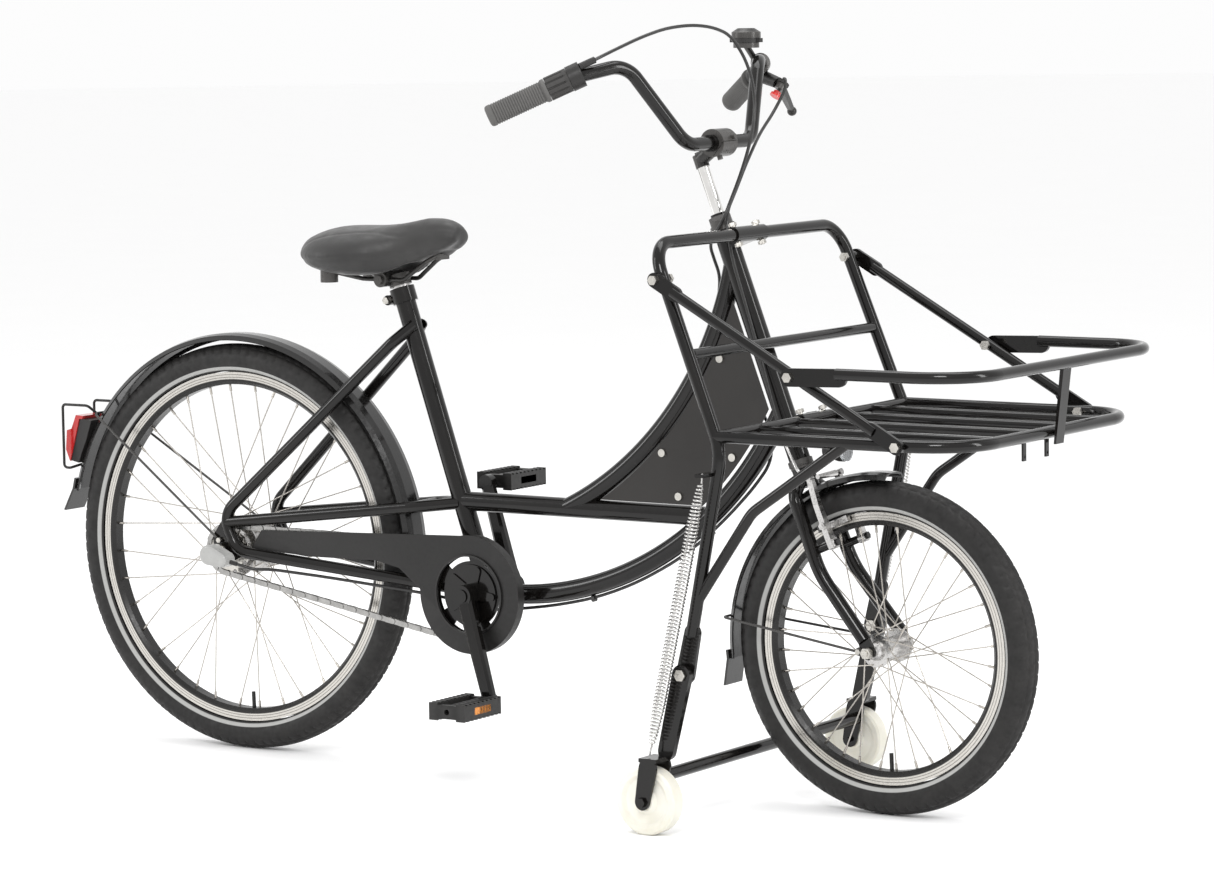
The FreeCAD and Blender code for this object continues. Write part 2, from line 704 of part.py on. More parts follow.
def crankset():
    """Spindle, two cranks with pedal axles, and the chainring on its five-armed spider."""
    spindle = cylinder(at(BB, -53), at(BB, 53), 8)
    parts = [spindle]
    for side in (-1, 1):
        parts.append(crank_arm(side).fuse(pedal_axle(side)))
        parts.append(cylinder(at(BB, side * 75.1), at(BB, side * 77.5), 10.5))
    ring_disc = toothed_disc(BB, RING_TEETH, 8.1, 1.1)
    slots = []
    for k in range(5):
        slot = spun(polygon_profile([(-60, 52), (-30, 52), (-30, 60), (-60, 60)]), at(BB, 0), 44,
                    CRANK_ANGLE + 72 * k)
        slots.append(slot)
    ring_disc = ring_disc.cut(Part.makeCompound(slots))
    cover = ring(at(BB, -CHAIN_Y - 1.2), at(BB, -CHAIN_Y - 4), 47, 8.1)
    spider = ring(at(BB, -CHAIN_Y - 4.1), at(BB, -52.9), 18, 8.1)
    for k in range(5):
        tip = polar(BB, 40, CRANK_ANGLE - 22 + 72 * k)
        arm = link_plate(BB, tip, 10, 6, -CHAIN_Y - 4.1, -CHAIN_Y - 6.8)
        spider = spider.fuse(arm)
    spider = spider.cut(cylinder(at(BB, -60), at(BB, -40), 8.1))
    return parts + [ring_disc, cover, spider]


def sprocket():
    """Rear sprocket on its driver."""
    driver = ring(at(REAR_AXLE, -38), at(REAR_AXLE, -52), 16, 4.95)
    return [toothed_disc(REAR_AXLE, SPROCKET_TEETH, 15.5, 1.1).fuse(driver).cut(
        cylinder(at(REAR_AXLE, -30), at(REAR_AXLE, -60), 4.95))]


def pedal(side):
    """Block pedal: two toothed treads and two end plates round a bearing barrel."""
    eye = crank_points(side)[1]
    y0, y1 = PEDAL_INNER_Y, PEDAL_OUTER_Y
    middle = (y0 + y1) / 2
    barrel = cylinder(at(eye, side * y0), at(eye, side * y1), 10)
    shape = barrel
    for front in (-1, 1):
        tread = box(at(eye, side * middle) + V(front * 25, 0, 0), V(16, y1 - y0, 27))
        shape = shape.fuse(tread)
        groove_count = 9
        for k in range(groove_count):
            y = y0 + (k + 0.5) * (y1 - y0) / groove_count
            for level in (-1, 1):
                groove = box(at(eye, side * y) + V(front * 25, 0, level * 13.5), V(20, 5, 5))
                shape = shape.cut(groove)
    for y in (y0 + 5, y1 - 5):
        shape = shape.fuse(box(at(eye, side * y), V(50, 10, 21)))
    bore = cylinder(at(eye, side * (y0 - 5)), at(eye, side * (y1 + 5)), 4.55)
    return [shape.cut(bore)]


def pedal_right():
    return pedal(-1)


def pedal_left():
    return pedal(1)


GUARD_Y = 53.5
GUARD_DISC_R = 93.0
GUARD_HOLE_R = 60.0


def chain_guard():
    """Flat face outside the chain with a disc round the chainring and an inward rim."""
    low, high = -GUARD_Y - 1.0, -GUARD_Y + 1.0
    arm_outline = [(52, 334), (58, 328), (300, 331), (345, 322), (384, 292), (430, 250), (520, 330),
                   (520, 372), (482, 380), (300, 374), (74, 366)]
    face = plate(arm_outline, low, high).fuse(cylinder(at(BB, low), at(BB, high), GUARD_DISC_R))
    face = face.cut(cylinder(at(BB, low - 1), at(BB, high + 1), GUARD_HOLE_R))
    rim_out = ring(at(BB, high), at(BB, -38), GUARD_DISC_R, GUARD_DISC_R - 2)
    rear_half = plate([(440, 150), (200, 150), (200, 380), (300, 380), (482, 382), (482, 300)], -60, -30)
    rim_out = rim_out.cut(rear_half)
    lip = ring(at(BB, low), at(BB, low - 3), GUARD_HOLE_R + 3, GUARD_HOLE_R)
    top_rim = plate([(74, 366), (300, 374), (482, 380), (482, 378), (300, 372), (74, 364)], high, -50.5)
    shape = face.fuse(rim_out).fuse(lip).fuse(top_rim)
    shape = shape.cut(rod(stay_loop(), STAY_R + 1, STAY_LOOP_BENDS))
    return [max(shape.Solids, key=lambda solid: solid.Volume)]


# ------------------------------------------------------------------ steering: fork and front end
BLADE_PATH = [steer(30, -2, -12), V(1062, -45, 474), V(1108, -50, 361), V(1186, -54, 266)]
BLADE_BENDS = [28, 150]
BLADE_R = 10.5
BOSS_RADIUS = 169.0
BRAKE_ANGLE = 112.9
BOSS_Y = 44.0
BRAKE_OUT = polar(V(0, 0, 0), 1.0, BRAKE_ANGLE)
BRAKE_FRONT = V(BRAKE_OUT.z, 0, -BRAKE_OUT.x)
BRAKE_PIVOT = polar(FRONT_AXLE, BOSS_RADIUS, BRAKE_ANGLE)


FRONT_EYELET = FRONT_AXLE + V(-15, 0, 1)


def fork():
    """Steerer, crown, two raked blades with axle plates, and the brake bosses."""
    top = HEAD_TOP - STEER_DOWN * 26
    steerer = cylinder(top, steer(40), STEERER_R).cut(cylinder(top, steer(20), QUILL_R + SLIDE_GAP))
    crown = cylinder(steer(13.4), steer(42), 17).cut(cylinder(steer(0), steer(60), STEERER_R))
    crown_solid = cylinder(steer(13.4), steer(42), 17)
    blade = tube(BLADE_PATH, BLADE_R, 1.5, BLADE_BENDS).cut(crown_solid)
    blade = keep(blade, V(1100, -48, 380))
    tip = link_plate(V(1184, 0, 268), FRONT_AXLE, 9.5, 11, -56.5, -51.5)
    tip = tip.fuse(link_plate(FRONT_EYELET, FRONT_AXLE, 6.5, 10, -56.5, -51.5))
    tip = tip.cut(cylinder(at(FRONT_AXLE, -70), at(FRONT_AXLE, -40), 4.7))
    tip = tip.cut(cylinder(at(FRONT_EYELET, -70), at(FRONT_EYELET, -40), 2.6))
    slot = turned(box(FRONT_AXLE + V(0, -54, -8), V(9.4, 10, 16)), FRONT_AXLE, Y_AXIS, -30)
    tip = tip.cut(slot).cut(rod(BLADE_PATH, BLADE_R, BLADE_BENDS))
    tip = max(tip.Solids, key=lambda solid: solid.Volume)
    boss_end = at(BRAKE_PIVOT, -BOSS_Y) - BRAKE_FRONT * 5.2
    boss = cylinder(boss_end - BRAKE_FRONT * 30, boss_end, 6).cut(rod(BLADE_PATH, BLADE_R, BLADE_BENDS))
    boss = keep(boss, boss_end)
    pin = cylinder(boss_end, boss_end + BRAKE_FRONT * 13, 4.0)
    screw = hexagon(boss_end + BRAKE_FRONT * 13.1, BRAKE_FRONT, 10, 3.5)
    boss = boss.fuse(pin)
    return [steerer, crown] + both(blade, tip, boss, screw)


def front_axle():
    parts = [cylinder(at(FRONT_AXLE, -68), at(FRONT_AXLE, 68), 4.5)]
    for side in (-1, 1):
        washer = ring(at(FRONT_AXLE, side * 56.6), at(FRONT_AXLE, side * 58.1), 8, 4.55)
        nut = hexagon(at(FRONT_AXLE, side * 58.2), V(0, side, 0), 15, 8)
        nut = nut.cut(cylinder(at(FRONT_AXLE, side * 58), at(FRONT_AXLE, side * 72), 4.55))
        cone_nut = ring(at(FRONT_AXLE, side * 49.3), at(FRONT_AXLE, side * 51.4), 7, 4.55)
        screw = bolt(at(FRONT_EYELET, side * 59.3), at(FRONT_EYELET, side * 48), 2.5, 8, 3.5)
        parts += [washer, nut, cone_nut, screw]
    return parts


def front_mudguard():
    """Guard, flap and the tongue that bolts it to the crown."""
    skin, flap = mudguard(FRONT_AXLE, FRONT_GUARD_R, FRONT_GUARD_START, FRONT_GUARD_END)
    tongue_low = polar(FRONT_AXLE, FRONT_GUARD_R + 0.2, 118.0)
    tongue = cylinder(tongue_low, steer(38), 4).cut(cylinder(steer(13), steer(42.1), 17))
    tongue = keep(tongue.cut(skin), tongue_low)
    return [skin, flap, tongue]


def front_mudguard_stay():
    """Wire from the left fork eyelet, round behind the mudguard, to the right one."""
    wire = wire_stay(at(FRONT_EYELET, 60.5) + V(-5, 0, 1), polar(FRONT_AXLE, FRONT_GUARD_R + 3.6, 173),
                     GUARD_HALF + 6)
    for side in (-1, 1):
        eye = cylinder(at(FRONT_EYELET, side * 56.7), at(FRONT_EYELET, side * 59.2), 6)
        wire = wire.fuse(eye)
    for side in (-1, 1):
        wire = wire.cut(cylinder(at(FRONT_EYELET, side * 50), at(FRONT_EYELET, side * 70), 2.6))
        wire = wire.cut(cylinder(at(FRONT_EYELET, side * 59.3), at(FRONT_EYELET, side * 70), 5))
    return [keep(wire, V(1000, 0, 260))]


LAMP_CENTRE = V(1114, 0, 538)


def headlamp():
    """Bracket from the crown, round housing and its clear lens."""
    back = LAMP_CENTRE - X_AXIS * 24
    housing = cone(back, LAMP_CENTRE, 10, 16).fuse(cylinder(LAMP_CENTRE, LAMP_CENTRE + X_AXIS * 9, 16))
    lens = cylinder(LAMP_CENTRE + X_AXIS * 9.1, LAMP_CENTRE + X_AXIS * 15, 15)
    bracket = rod([steer(20, 10), V(1082, 0, 520), V(1096, 0, 528)], 3.2, 8)
    bracket = bracket.cut(housing).cut(cylinder(steer(13), steer(43), 17.1))
    return [housing, lens, keep(bracket, V(1082, 0, 518))]


def brake_arm(side):
    """A cantilever arm on its boss, with the pad that meets the rim's side."""
    def local(y, up, front):
        return at(BRAKE_PIVOT, side * y) + BRAKE_OUT * up + BRAKE_FRONT * front

    outline = [(BOSS_Y - 8, -6), (BOSS_Y + 8, -6), (BOSS_Y + 9, 8), (BOSS_Y + 8, 60),
               (BOSS_Y + 1, 100), (BOSS_Y - 8, 100), (BOSS_Y - 3, 60), (BOSS_Y - 6, 12)]
    corners = [local(y, up, -4.5) for y, up in outline]
    arm = Part.Face(Part.makePolygon(corners + corners[:1])).extrude(BRAKE_FRONT * 9)
    arm = arm.fuse(cylinder(local(BOSS_Y, 0, -5), local(BOSS_Y, 0, 7.5), 8))
    bore = cylinder(local(BOSS_Y, 0, -8), local(BOSS_Y, 0, 12), 4.05)
    stud_hole = cylinder(local(BOSS_Y - 12, 29, 0), local(BOSS_Y + 14, 29, 0), 3.05)
    arm = arm.cut(bore).cut(stud_hole)
    u, w = BRAKE_FRONT, BRAKE_OUT
    pad_corners = []
    for a, b in ((-27, -4.5), (27, -4.5), (27, 4.5), (-27, 4.5), (-27, -4.5)):
        pad_corners.append(local(16.0, 29, 0) + u * a + w * b)
    pad = Part.Face(Part.makePolygon(pad_corners)).extrude(Y_AXIS * (side * 9.5))
    stud = cylinder(local(25.6, 29, 0), local(BOSS_Y + 15, 29, 0), 3.0)
    nut = hexagon(local(BOSS_Y + 9.3, 29, 0), V(0, side, 0), 10, 4)
    return [arm, pad, stud.fuse(nut)]


def brake_arm_right():
    """Right arm with the bent noodle that brings the cable in at its top."""
    arm, pad, stud = brake_arm(-1)
    top = at(BRAKE_PIVOT, -BOSS_Y + 3) + BRAKE_OUT * 103
    cradle = cylinder(top - Y_AXIS * 6, top + Y_AXIS * 6, 4.5)
    noodle = rod([V(1037, -30, 551), top - V(0, 24, 0) + BRAKE_OUT * 2, top - Y_AXIS * 6.1], 2.4, 18)
    arm = arm.fuse(cradle)
    arm = arm.cut(cylinder(top - Y_AXIS * 9, top + Y_AXIS * 9, 1.6))
    return [arm, pad, stud, noodle]


def brake_arm_left():
    """Left arm with the clamp that grips the cable, and the rubber boot over the cable."""
    arm, pad, stud = brake_arm(1)
    top = at(BRAKE_PIVOT, BOSS_Y - 3) + BRAKE_OUT * 103
    clamp = cylinder(top - BRAKE_FRONT * 6, top + BRAKE_FRONT * 8, 5)
    arm = arm.fuse(clamp)
    boot = cone(top - Y_AXIS * 8, at(top, -18), 5.5, 3.5)
    return [arm, pad, stud, boot]


# ------------------------------------------------------------------ handlebar
BAR_PATH = [V(911, 0, 991), V(911, 91, 991), V(868, 186, 1112), V(830, 262, 1096), V(728, 334, 1041)]
BAR_BENDS = [45, 48, 42]
GRIP_AXIS = (BAR_PATH[4] - BAR_PATH[3]).normalize()
GRIP_LENGTH = 92.0
SHIFTER_LENGTH = 34.0


def grip_point(s, side=1):
    """A point on the grip's axis, s from its outer end towards the middle."""
    p = BAR_PATH[4] - GRIP_AXIS * s
    return V(p.x, side * p.y, p.z)


def stem():
    """Quill in the steerer, forged neck, two-piece clamp with its bolts, and the expander."""
    up = STEER_DOWN * -1
    low = HEAD_TOP + STEER_DOWN * 130
    top = HEAD_TOP + up * 100
    quill = cylinder(low, top, QUILL_R)
    centre = CLAMP_CENTRE
    neck = cylinder(top, top + up * 20, 10.5).fuse(cone(top + up * 12, centre, 11, 12))
    clamp = cylinder(at(centre, -20), at(centre, 20), 21)
    head = neck.fuse(clamp).cut(cylinder(at(centre, -40), at(centre, 40), 12.75))
    head = max(head.Solids, key=lambda solid: solid.Volume)
    split = box(centre + V(14, 0, 12), V(0.8, 60, 60))
    split = turned(split, centre, Y_AXIS, 40)
    head = head.cut(split).cut(quill)
    extras = [cylinder(centre + V(18, 7, 8), centre + V(25, 7, 10), 4),
              cylinder(centre + V(5, -7, -19), centre + V(7, -7, -25), 4),
              hexagon(top + up * 20.1, up, 10, 4)]
    pieces = [quill] + [solid for solid in head.Solids if solid.Volume > 300]
    return pieces + [piece.cut(head).Solids[0] for piece in extras]


def bar_envelope(extra=0.0):
    right = [V(p.x, -p.y, p.z) for p in reversed(BAR_PATH[1:])]
    return rod(right + BAR_PATH[1:], BAR_R + extra, BAR_BENDS[::-1] + BAR_BENDS)


def handlebar():
    """Bent bar with a thicker sleeve in the stem's clamp."""
    shape = bar_envelope().cut(bar_envelope(-1.8))
    return [shape.fuse(ring(at(BAR_PATH[1], -30), at(BAR_PATH[1], 30), 12.7, 9.5))]


def grips():
    """Rubber sleeves with closed ends."""
    sleeve = ring(grip_point(0), grip_point(GRIP_LENGTH), 16.5, BAR_R + SLIDE_GAP)
    flange = ring(grip_point(GRIP_LENGTH - 5), grip_point(GRIP_LENGTH), 18, BAR_R + SLIDE_GAP)
    cap = cylinder(grip_point(-4), grip_point(-0.1), 16.5)
    return both(sleeve.fuse(flange), cap)


LEVER_PIVOT = V(868, 252, 1066)
LEVER_BALL = V(853, 310, 1027)
LEVER_AXIS = V(0.257, 0.577, 0.775).normalize()


def control_housings():
    """Gear changer's fixed housing on the right, brake lever bracket on the left, two clips."""
    s = GRIP_LENGTH + SHIFTER_LENGTH + 1.0
    bore = bar_envelope(SLIDE_GAP)
    body = cylinder(grip_point(s, -1), grip_point(s + 20, -1), 19)
    outlet = cylinder(grip_point(s + 10, -1) + V(6, 0, 14), SHIFT_ROUTE[0], 5)
    shifter = body.fuse(outlet).cut(bore)
    shifter = max(shifter.Solids, key=lambda solid: solid.Volume)
    s = GRIP_LENGTH + 8
    clamp = cylinder(grip_point(s), grip_point(s + 20), 15)
    hub_point = LEVER_PIVOT
    bracket = cone(grip_point(s + 10), hub_point + V(-6, 4, 6), 11, 9).fuse(clamp)
    yoke = cylinder(hub_point - LEVER_AXIS * 9, hub_point + LEVER_AXIS * 9, 10)
    slot = cylinder(hub_point - LEVER_AXIS * 5, hub_point + LEVER_AXIS * 5, 13)
    barrel = cylinder(hub_point + V(2, -10, 4), hub_point + V(12, -12, 12), 5)
    bracket = bracket.cut(slot).fuse(yoke.cut(slot)).fuse(barrel.cut(slot)).cut(bore)
    for turn in range(0, 31, 6):
        bracket = bracket.cut(turned(lever_blade(0.8), hub_point, LEVER_AXIS, turn))
    bracket = max(bracket.Solids, key=lambda solid: solid.Volume)
    pin_hole = cylinder(hub_point - LEVER_AXIS * 12, hub_point + LEVER_AXIS * 12, 2.5)
    pin = cylinder(hub_point - LEVER_AXIS * 9, hub_point + LEVER_AXIS * 9, 2.5)
    return [shifter, bracket.cut(pin_hole), pin]


def twist_shifter():
    """Ribbed sleeve that turns on the bar between the right grip and its housing."""
    start, end = GRIP_LENGTH + 0.4, GRIP_LENGTH + SHIFTER_LENGTH + 0.6
    shape = ring(grip_point(start, -1), grip_point(end, -1), 18, BAR_R + SLIDE_GAP)
    axis = grip_point(end, -1) - grip_point(start, -1)
    side = axis.cross(Z_AXIS).normalize()
    for k in range(12):
        groove = cylinder(grip_point(start, -1) + side * 18.4, grip_point(end - 6, -1) + side * 18.4, 1.6)
        shape = shape.cut(turned(groove, grip_point(start, -1), axis, 30 * k))
    return [shape]


def lever_blade(grow=0.0):
    """The lever's tapering blade, or the space that it needs when grow is above zero."""
    along = (LEVER_BALL - LEVER_PIVOT).normalize()
    across = LEVER_AXIS.cross(along).normalize()

    def section(point, half, thick):
        corners = [point + across * (half + grow) * u + LEVER_AXIS * (thick + grow) * w
                   for u, w in ((-1, -1), (1, -1), (1, 1), (-1, 1), (-1, -1))]
        return Part.makePolygon(corners)

    return Part.makeLoft([section(LEVER_PIVOT, 7, 4.4), section(LEVER_PIVOT + along * 40, 5.5, 4),
                          section(LEVER_BALL, 4, 3.5)], True, True)


def brake_lever():
    """Blade from the pivot to its ball end, in the slot of the bracket."""
    eye = cylinder(LEVER_PIVOT - LEVER_AXIS * 4.6, LEVER_PIVOT + LEVER_AXIS * 4.6, 8)
    shape = eye.fuse(lever_blade()).fuse(Part.makeSphere(7.5, LEVER_BALL))
    bore = cylinder(LEVER_PIVOT - LEVER_AXIS * 9, LEVER_PIVOT + LEVER_AXIS * 9, 2.55)
    return [shape.cut(bore)]


def parking_lock():
    """Button under the bracket that holds the lever in."""
    base = LEVER_PIVOT - LEVER_AXIS * 9.4
    shank = cylinder(base, base - LEVER_AXIS * 5, 6)
    return [shank.fuse(cylinder(base - LEVER_AXIS * 5, base - LEVER_AXIS * 9, 8.5))]


BELL_CENTRE = V(842, 194, 1128)


def bell():
    """Clamp ring on the bar, base cup and dome, with a gap between for the turning ring."""
    direction = (BAR_PATH[3] - BAR_PATH[2]).normalize()
    hold = BAR_PATH[2] + direction * 45
    clamp = cylinder(hold - direction * 6, hold + direction * 6, 15)
    post = cylinder(hold + V(-8, -4, 6), BELL_CENTRE + V(0, 0, 3), 5)
    base = cylinder(BELL_CENTRE, BELL_CENTRE + Z_AXIS * 8, 20)
    spindle = cylinder(BELL_CENTRE + Z_AXIS * 8, BELL_CENTRE + Z_AXIS * 15.2, 5)
    dome_low = BELL_CENTRE + Z_AXIS * 15
    dome = cylinder(dome_low, dome_low + Z_AXIS * 9, 22.5)
    cap = cone(dome_low + Z_AXIS * 9, dome_low + Z_AXIS * 15, 22.5, 13)
    shape = clamp.fuse(post).fuse(base).fuse(spindle).fuse(dome).fuse(cap)
    return [max(shape.cut(bar_envelope(SLIDE_GAP)).Solids, key=lambda solid: solid.Volume)]


def bell_lever():
    """Ring between the bell's base and dome, with a thumb tab on each side."""
    centre = BELL_CENTRE
    shape = ring(centre + Z_AXIS * 8.3, centre + Z_AXIS * 14.7, 22, 5.05)
    for side in (-1, 1):
        shape = shape.fuse(box(centre + V(side * 23.5, 0, 11.5), V(7, 9, 6.4)))
    return [shape.cut(cylinder(centre, centre + Z_AXIS * 40, 5.05))]


# ------------------------------------------------------------------ cables
CABLE_R = 2.5
SHIFT_ROUTE = [V(851, -242, 1120), V(858, -222, 1128), V(870, -150, 1150), V(886, -105, 1163),
               V(903, -60, 1167), V(911, -15, 1163), V(914, 30, 1151), V(920, 60, 1118),
               V(926, 74, 1082), V(930, 74, 1046), V(934, 60, 1006), V(936, 38, 971),
               V(938, 13, 938), V(939, -12, 908), V(935, -27, 880), V(918, -26, 856),
               V(901, -13, 838), V(897, 4, 818), V(898, 20, 790), V(892, 23, 745), V(896, 22, 700)]
BRAKE_ROUTE = [V(881.5, 239.5, 1079.5), V(888, 233, 1079), V(892, 225, 1062), V(888, 195, 1028),
               V(898, 140, 1000), V(912, 95, 978), V(924, 50, 950), V(930, 18, 922),
               V(933, -14, 890), V(939, -25, 862), V(949, -25, 815), V(974, -25, 740),
               V(1000, -27, 660), V(1022, -29, 590), V(1035.6, -29.9, 555)]
LOWER_ROUTE_R = LOWER_ARC[1] + LOWER_TUBE_R + 4.6


def even_bends(points):
    """The largest bend radius that both neighbouring runs allow at each inner point."""
    bends = []
    for a, b, c in zip(points, points[1:], points[2:]):
        turn = (b - a).getAngle(c - b)
        bends.append(0.45 * min((b - a).Length, (c - b).Length) / math.tan(turn / 2))
    return bends


def cable(points, r=CABLE_R):
    return rod(points, r, even_bends(points))


def control_cables():
    """The two outer cables between the handlebar and the head of the frame."""
    return [cable(SHIFT_ROUTE), cable(BRAKE_ROUTE)]


def frame_cable():
    """Gear cable under the down tube and along the right chain stay, with its two clips."""
    under = [polar(LOWER_ARC[0], LOWER_ROUTE_R, angle) for angle in (-46, -52, -58, -66, -74, -82)]
    start = [V(904, 22, 660), V(950, 22, 610), V(982, 22, 568)]
    start.append(polar(LOWER_ARC[0], LOWER_ROUTE_R - 5, -35.5, 19))
    start.append(polar(LOWER_ARC[0], LOWER_ROUTE_R, -40, 6))
    end = [V(530, -6, 263), V(490, -16, 260), V(440, -30, 274), V(380, -36, 282), V(200, -51, 298),
           V(100, -61, 305), V(74, -78, 306), V(62, -86.8, 311), V(50.4, -88.9, 313.9)]
    route = start + under + end
    line = cable(route)
    clips = []
    for angle in (-50, -74):
        centre = polar(LOWER_ARC[0], LOWER_ROUTE_R, angle)
        along = polar(V(0, 0, 0), 3, angle + 90)
        clip = cylinder(centre - along, centre + along, 5)
        clips.append(clip.cut(cable(route, CABLE_R + 0.1)).cut(lower_envelope(0.1)))
    return [line] + [max(clip.Solids, key=lambda solid: solid.Volume) for clip in clips]


# ------------------------------------------------------------------ saddle
POST_R = 13.5
SADDLE_SECTIONS = [(167, 40, 812, 828, 14), (182, 82, 796, 843, 26), (215, 103, 788, 851, 34),
                   (262, 105, 784, 853, 34), (310, 86, 786, 855, 30), (352, 54, 798, 861, 26),
                   (392, 38, 812, 868, 24), (422, 31, 823, 866, 24), (441, 22, 833, 856, 16)]


def saddle_cover():
    """Padded saddle with a recess underneath for the rails and the post."""
    wires = [lozenge_wire(*section) for section in SADDLE_SECTIONS]
    shape = Part.makeLoft(wires, True, False)
    recess = box(V(288, 0, 750), V(170, 74, 106))
    return [shape.cut(recess).cut(box(V(372, 0, 760), V(60, 50, 92)))]


RAIL_PATH = [V(400, -9, 812), V(378, -14, 800), V(340, -20, 772), V(262, -20, 772), V(226, -40, 782)]
RAIL_BENDS = [14, 16, 20]


def saddle_rails():
    """Two bent rails, their front and rear brackets, and the two rubber dampers."""
    rail = rod(RAIL_PATH, 3.5, RAIL_BENDS)
    wide_rail = rod(RAIL_PATH, 3.7, RAIL_BENDS)
    front = box(V(396, 0, 809), V(18, 26, 9)).cut(wide_rail).cut(mirrored(wide_rail))
    front = keep(front, V(396, 0, 809))
    bridge = cylinder(V(226, -62, 784), V(226, 62, 784), 4).cut(wide_rail).cut(mirrored(wide_rail))
    bridge = keep(bridge, V(226, 0, 784))
    damper = cylinder(V(222, -56, 768), V(222, -56, 800), 14)
    damper = damper.cut(cylinder(V(226, -64, 784), V(226, 62, 784), 4.2)).cut(wide_rail)
    damper = max(damper.Solids, key=lambda solid: solid.Volume)
    cover = saddle_cover()[0]
    parts = [rail, mirrored(rail), front, bridge, damper, mirrored(damper)]
    return [max(part.cut(cover).Solids, key=lambda solid: solid.Volume) for part in parts]


def seat_post():
    """Post with the clamp that grips the rails."""
    low, high = seat(240), seat(SEAT_TUBE_END + 26)
    post = cylinder(low, high, POST_R)
    centre = V(301, 0, 772)
    cross = cylinder(at(centre, -30), at(centre, 30), 12)
    collar = cylinder(seat(SEAT_TUBE_END + 8), high, 18)
    head = collar.fuse(cross)
    for rail in both(rod(RAIL_PATH, 3.55, RAIL_BENDS)):
        head = head.cut(rail)
    head = head.cut(cylinder(low, high, POST_R))
    head = max(head.Solids, key=lambda solid: solid.Volume)
    nuts = [hexagon(at(centre, side * 30.1), V(0, side, 0), 13, 5) for side in (-1, 1)]
    return [post, head] + nuts


# ------------------------------------------------------------------ carrier
HOOP_TOP = V(959, 0, 856)
HOOP_TOP_Y = 264.0
HOOP_KNEE = V(1077.5, -UPRIGHT_Y, 560)
UPRIGHT_FOOT = V(1024, -UPRIGHT_Y, 292)
HOOP_BENDS = [100, 46, 46, 100]


def hoop_path():
    right = [UPRIGHT_FOOT, HOOP_KNEE, at(HOOP_TOP, -HOOP_TOP_Y)]
    left = [V(p.x, -p.y, p.z) for p in reversed(right)]
    return right + left


def hoop_envelope():
    return rod(hoop_path(), HOOP_R, HOOP_BENDS)


def hoop_x(z):
    """The hoop's centre line at a height above the platform."""
    return HOOP_TOP.x + (HOOP_TOP.z - z) * (HOOP_KNEE.x - HOOP_TOP.x) / (HOOP_TOP.z - HOOP_KNEE.z)


SPRING_LUG = V(1050, -UPRIGHT_Y, 529)
SPRING_TOP = V(1060, 0, 533)
SPRING_Y = 303.0
BRACKET_BOLT_Y = 33.0
HOOP_BOLT = HOOP_TOP
REAR_BAR_BOLT = V(1072, 0, PLATFORM_Z)


def bracket_bolt(centre, y, r=3.5, reach=19.0):
    """A bolt through a cross tube, parallel to the head tube."""
    middle = at(centre, y)
    return cylinder(middle - STEER_DOWN * reach, middle + STEER_DOWN * reach, r)


def hoop_y(z):
    """How far the hoop's leg is from the middle at a height above the platform."""
    return UPRIGHT_Y + (HOOP_TOP_Y - UPRIGHT_Y) * (z - HOOP_KNEE.z) / (HOOP_TOP.z - HOOP_KNEE.z)


def arm_top():
    return V(hoop_x(806), -ARM_Y, 806)


def carrier_hoop():
    """Hoop with its flattened feet, the cross bar, and the lugs that carry the springs."""
    hoop = tube(hoop_path(), HOOP_R, 1.6, HOOP_BENDS)
    for y in (-BRACKET_BOLT_Y, BRACKET_BOLT_Y):
        hoop = hoop.cut(bracket_bolt(HOOP_BOLT, y, 3.6))
    hoop = hoop.cut(cylinder(at(arm_top(), -300), at(arm_top(), 300), 4.1))
    cross_z = 698
    ends = [V(hoop_x(cross_z), side * hoop_y(cross_z), cross_z) for side in (-1, 1)]
    cross = keep(tube(ends, 8.0, 1.5).cut(hoop_envelope()), V(hoop_x(cross_z), 0, cross_z))
    foot = link_plate(V(1026, 0, 296), STAND_PIVOT, 13, 15, -UPRIGHT_Y - 3, -UPRIGHT_Y + 3)
    foot = foot.cut(cylinder(at(STAND_PIVOT, -300), at(STAND_PIVOT, -200), 5.05))
    foot = foot.cut(hoop_envelope())
    foot = max(foot.Solids, key=lambda solid: solid.Volume)
    lug = box(SPRING_LUG + V(12, -18, 0), V(14, 36, 5)).cut(hoop_envelope())
    top, low = spring_ends()
    along = (low - top).normalize()
    lug = lug.cut(cylinder(top - along * 20, top + along * 20, 2.1))
    lug = keep(lug, SPRING_LUG + V(5, -20, 0))
    return [hoop, cross] + both(foot, lug)


def platform_path():
    side = UPRIGHT_Y
    return [V(hoop_x(PLATFORM_Z), -side, PLATFORM_Z), V(PLATFORM_FRONT_X, -side, PLATFORM_Z),
            V(PLATFORM_FRONT_X, side, PLATFORM_Z), V(hoop_x(PLATFORM_Z), side, PLATFORM_Z)]


def platform_envelope(extra=0.0):
    return rod(platform_path(), PLATFORM_TUBE_R + extra, PLATFORM_CORNER_R)


REAR_BAR_X = 1072.0
TAB_Y = (-93, -24)
TAB_HOLE_Z = PLATFORM_Z - 28


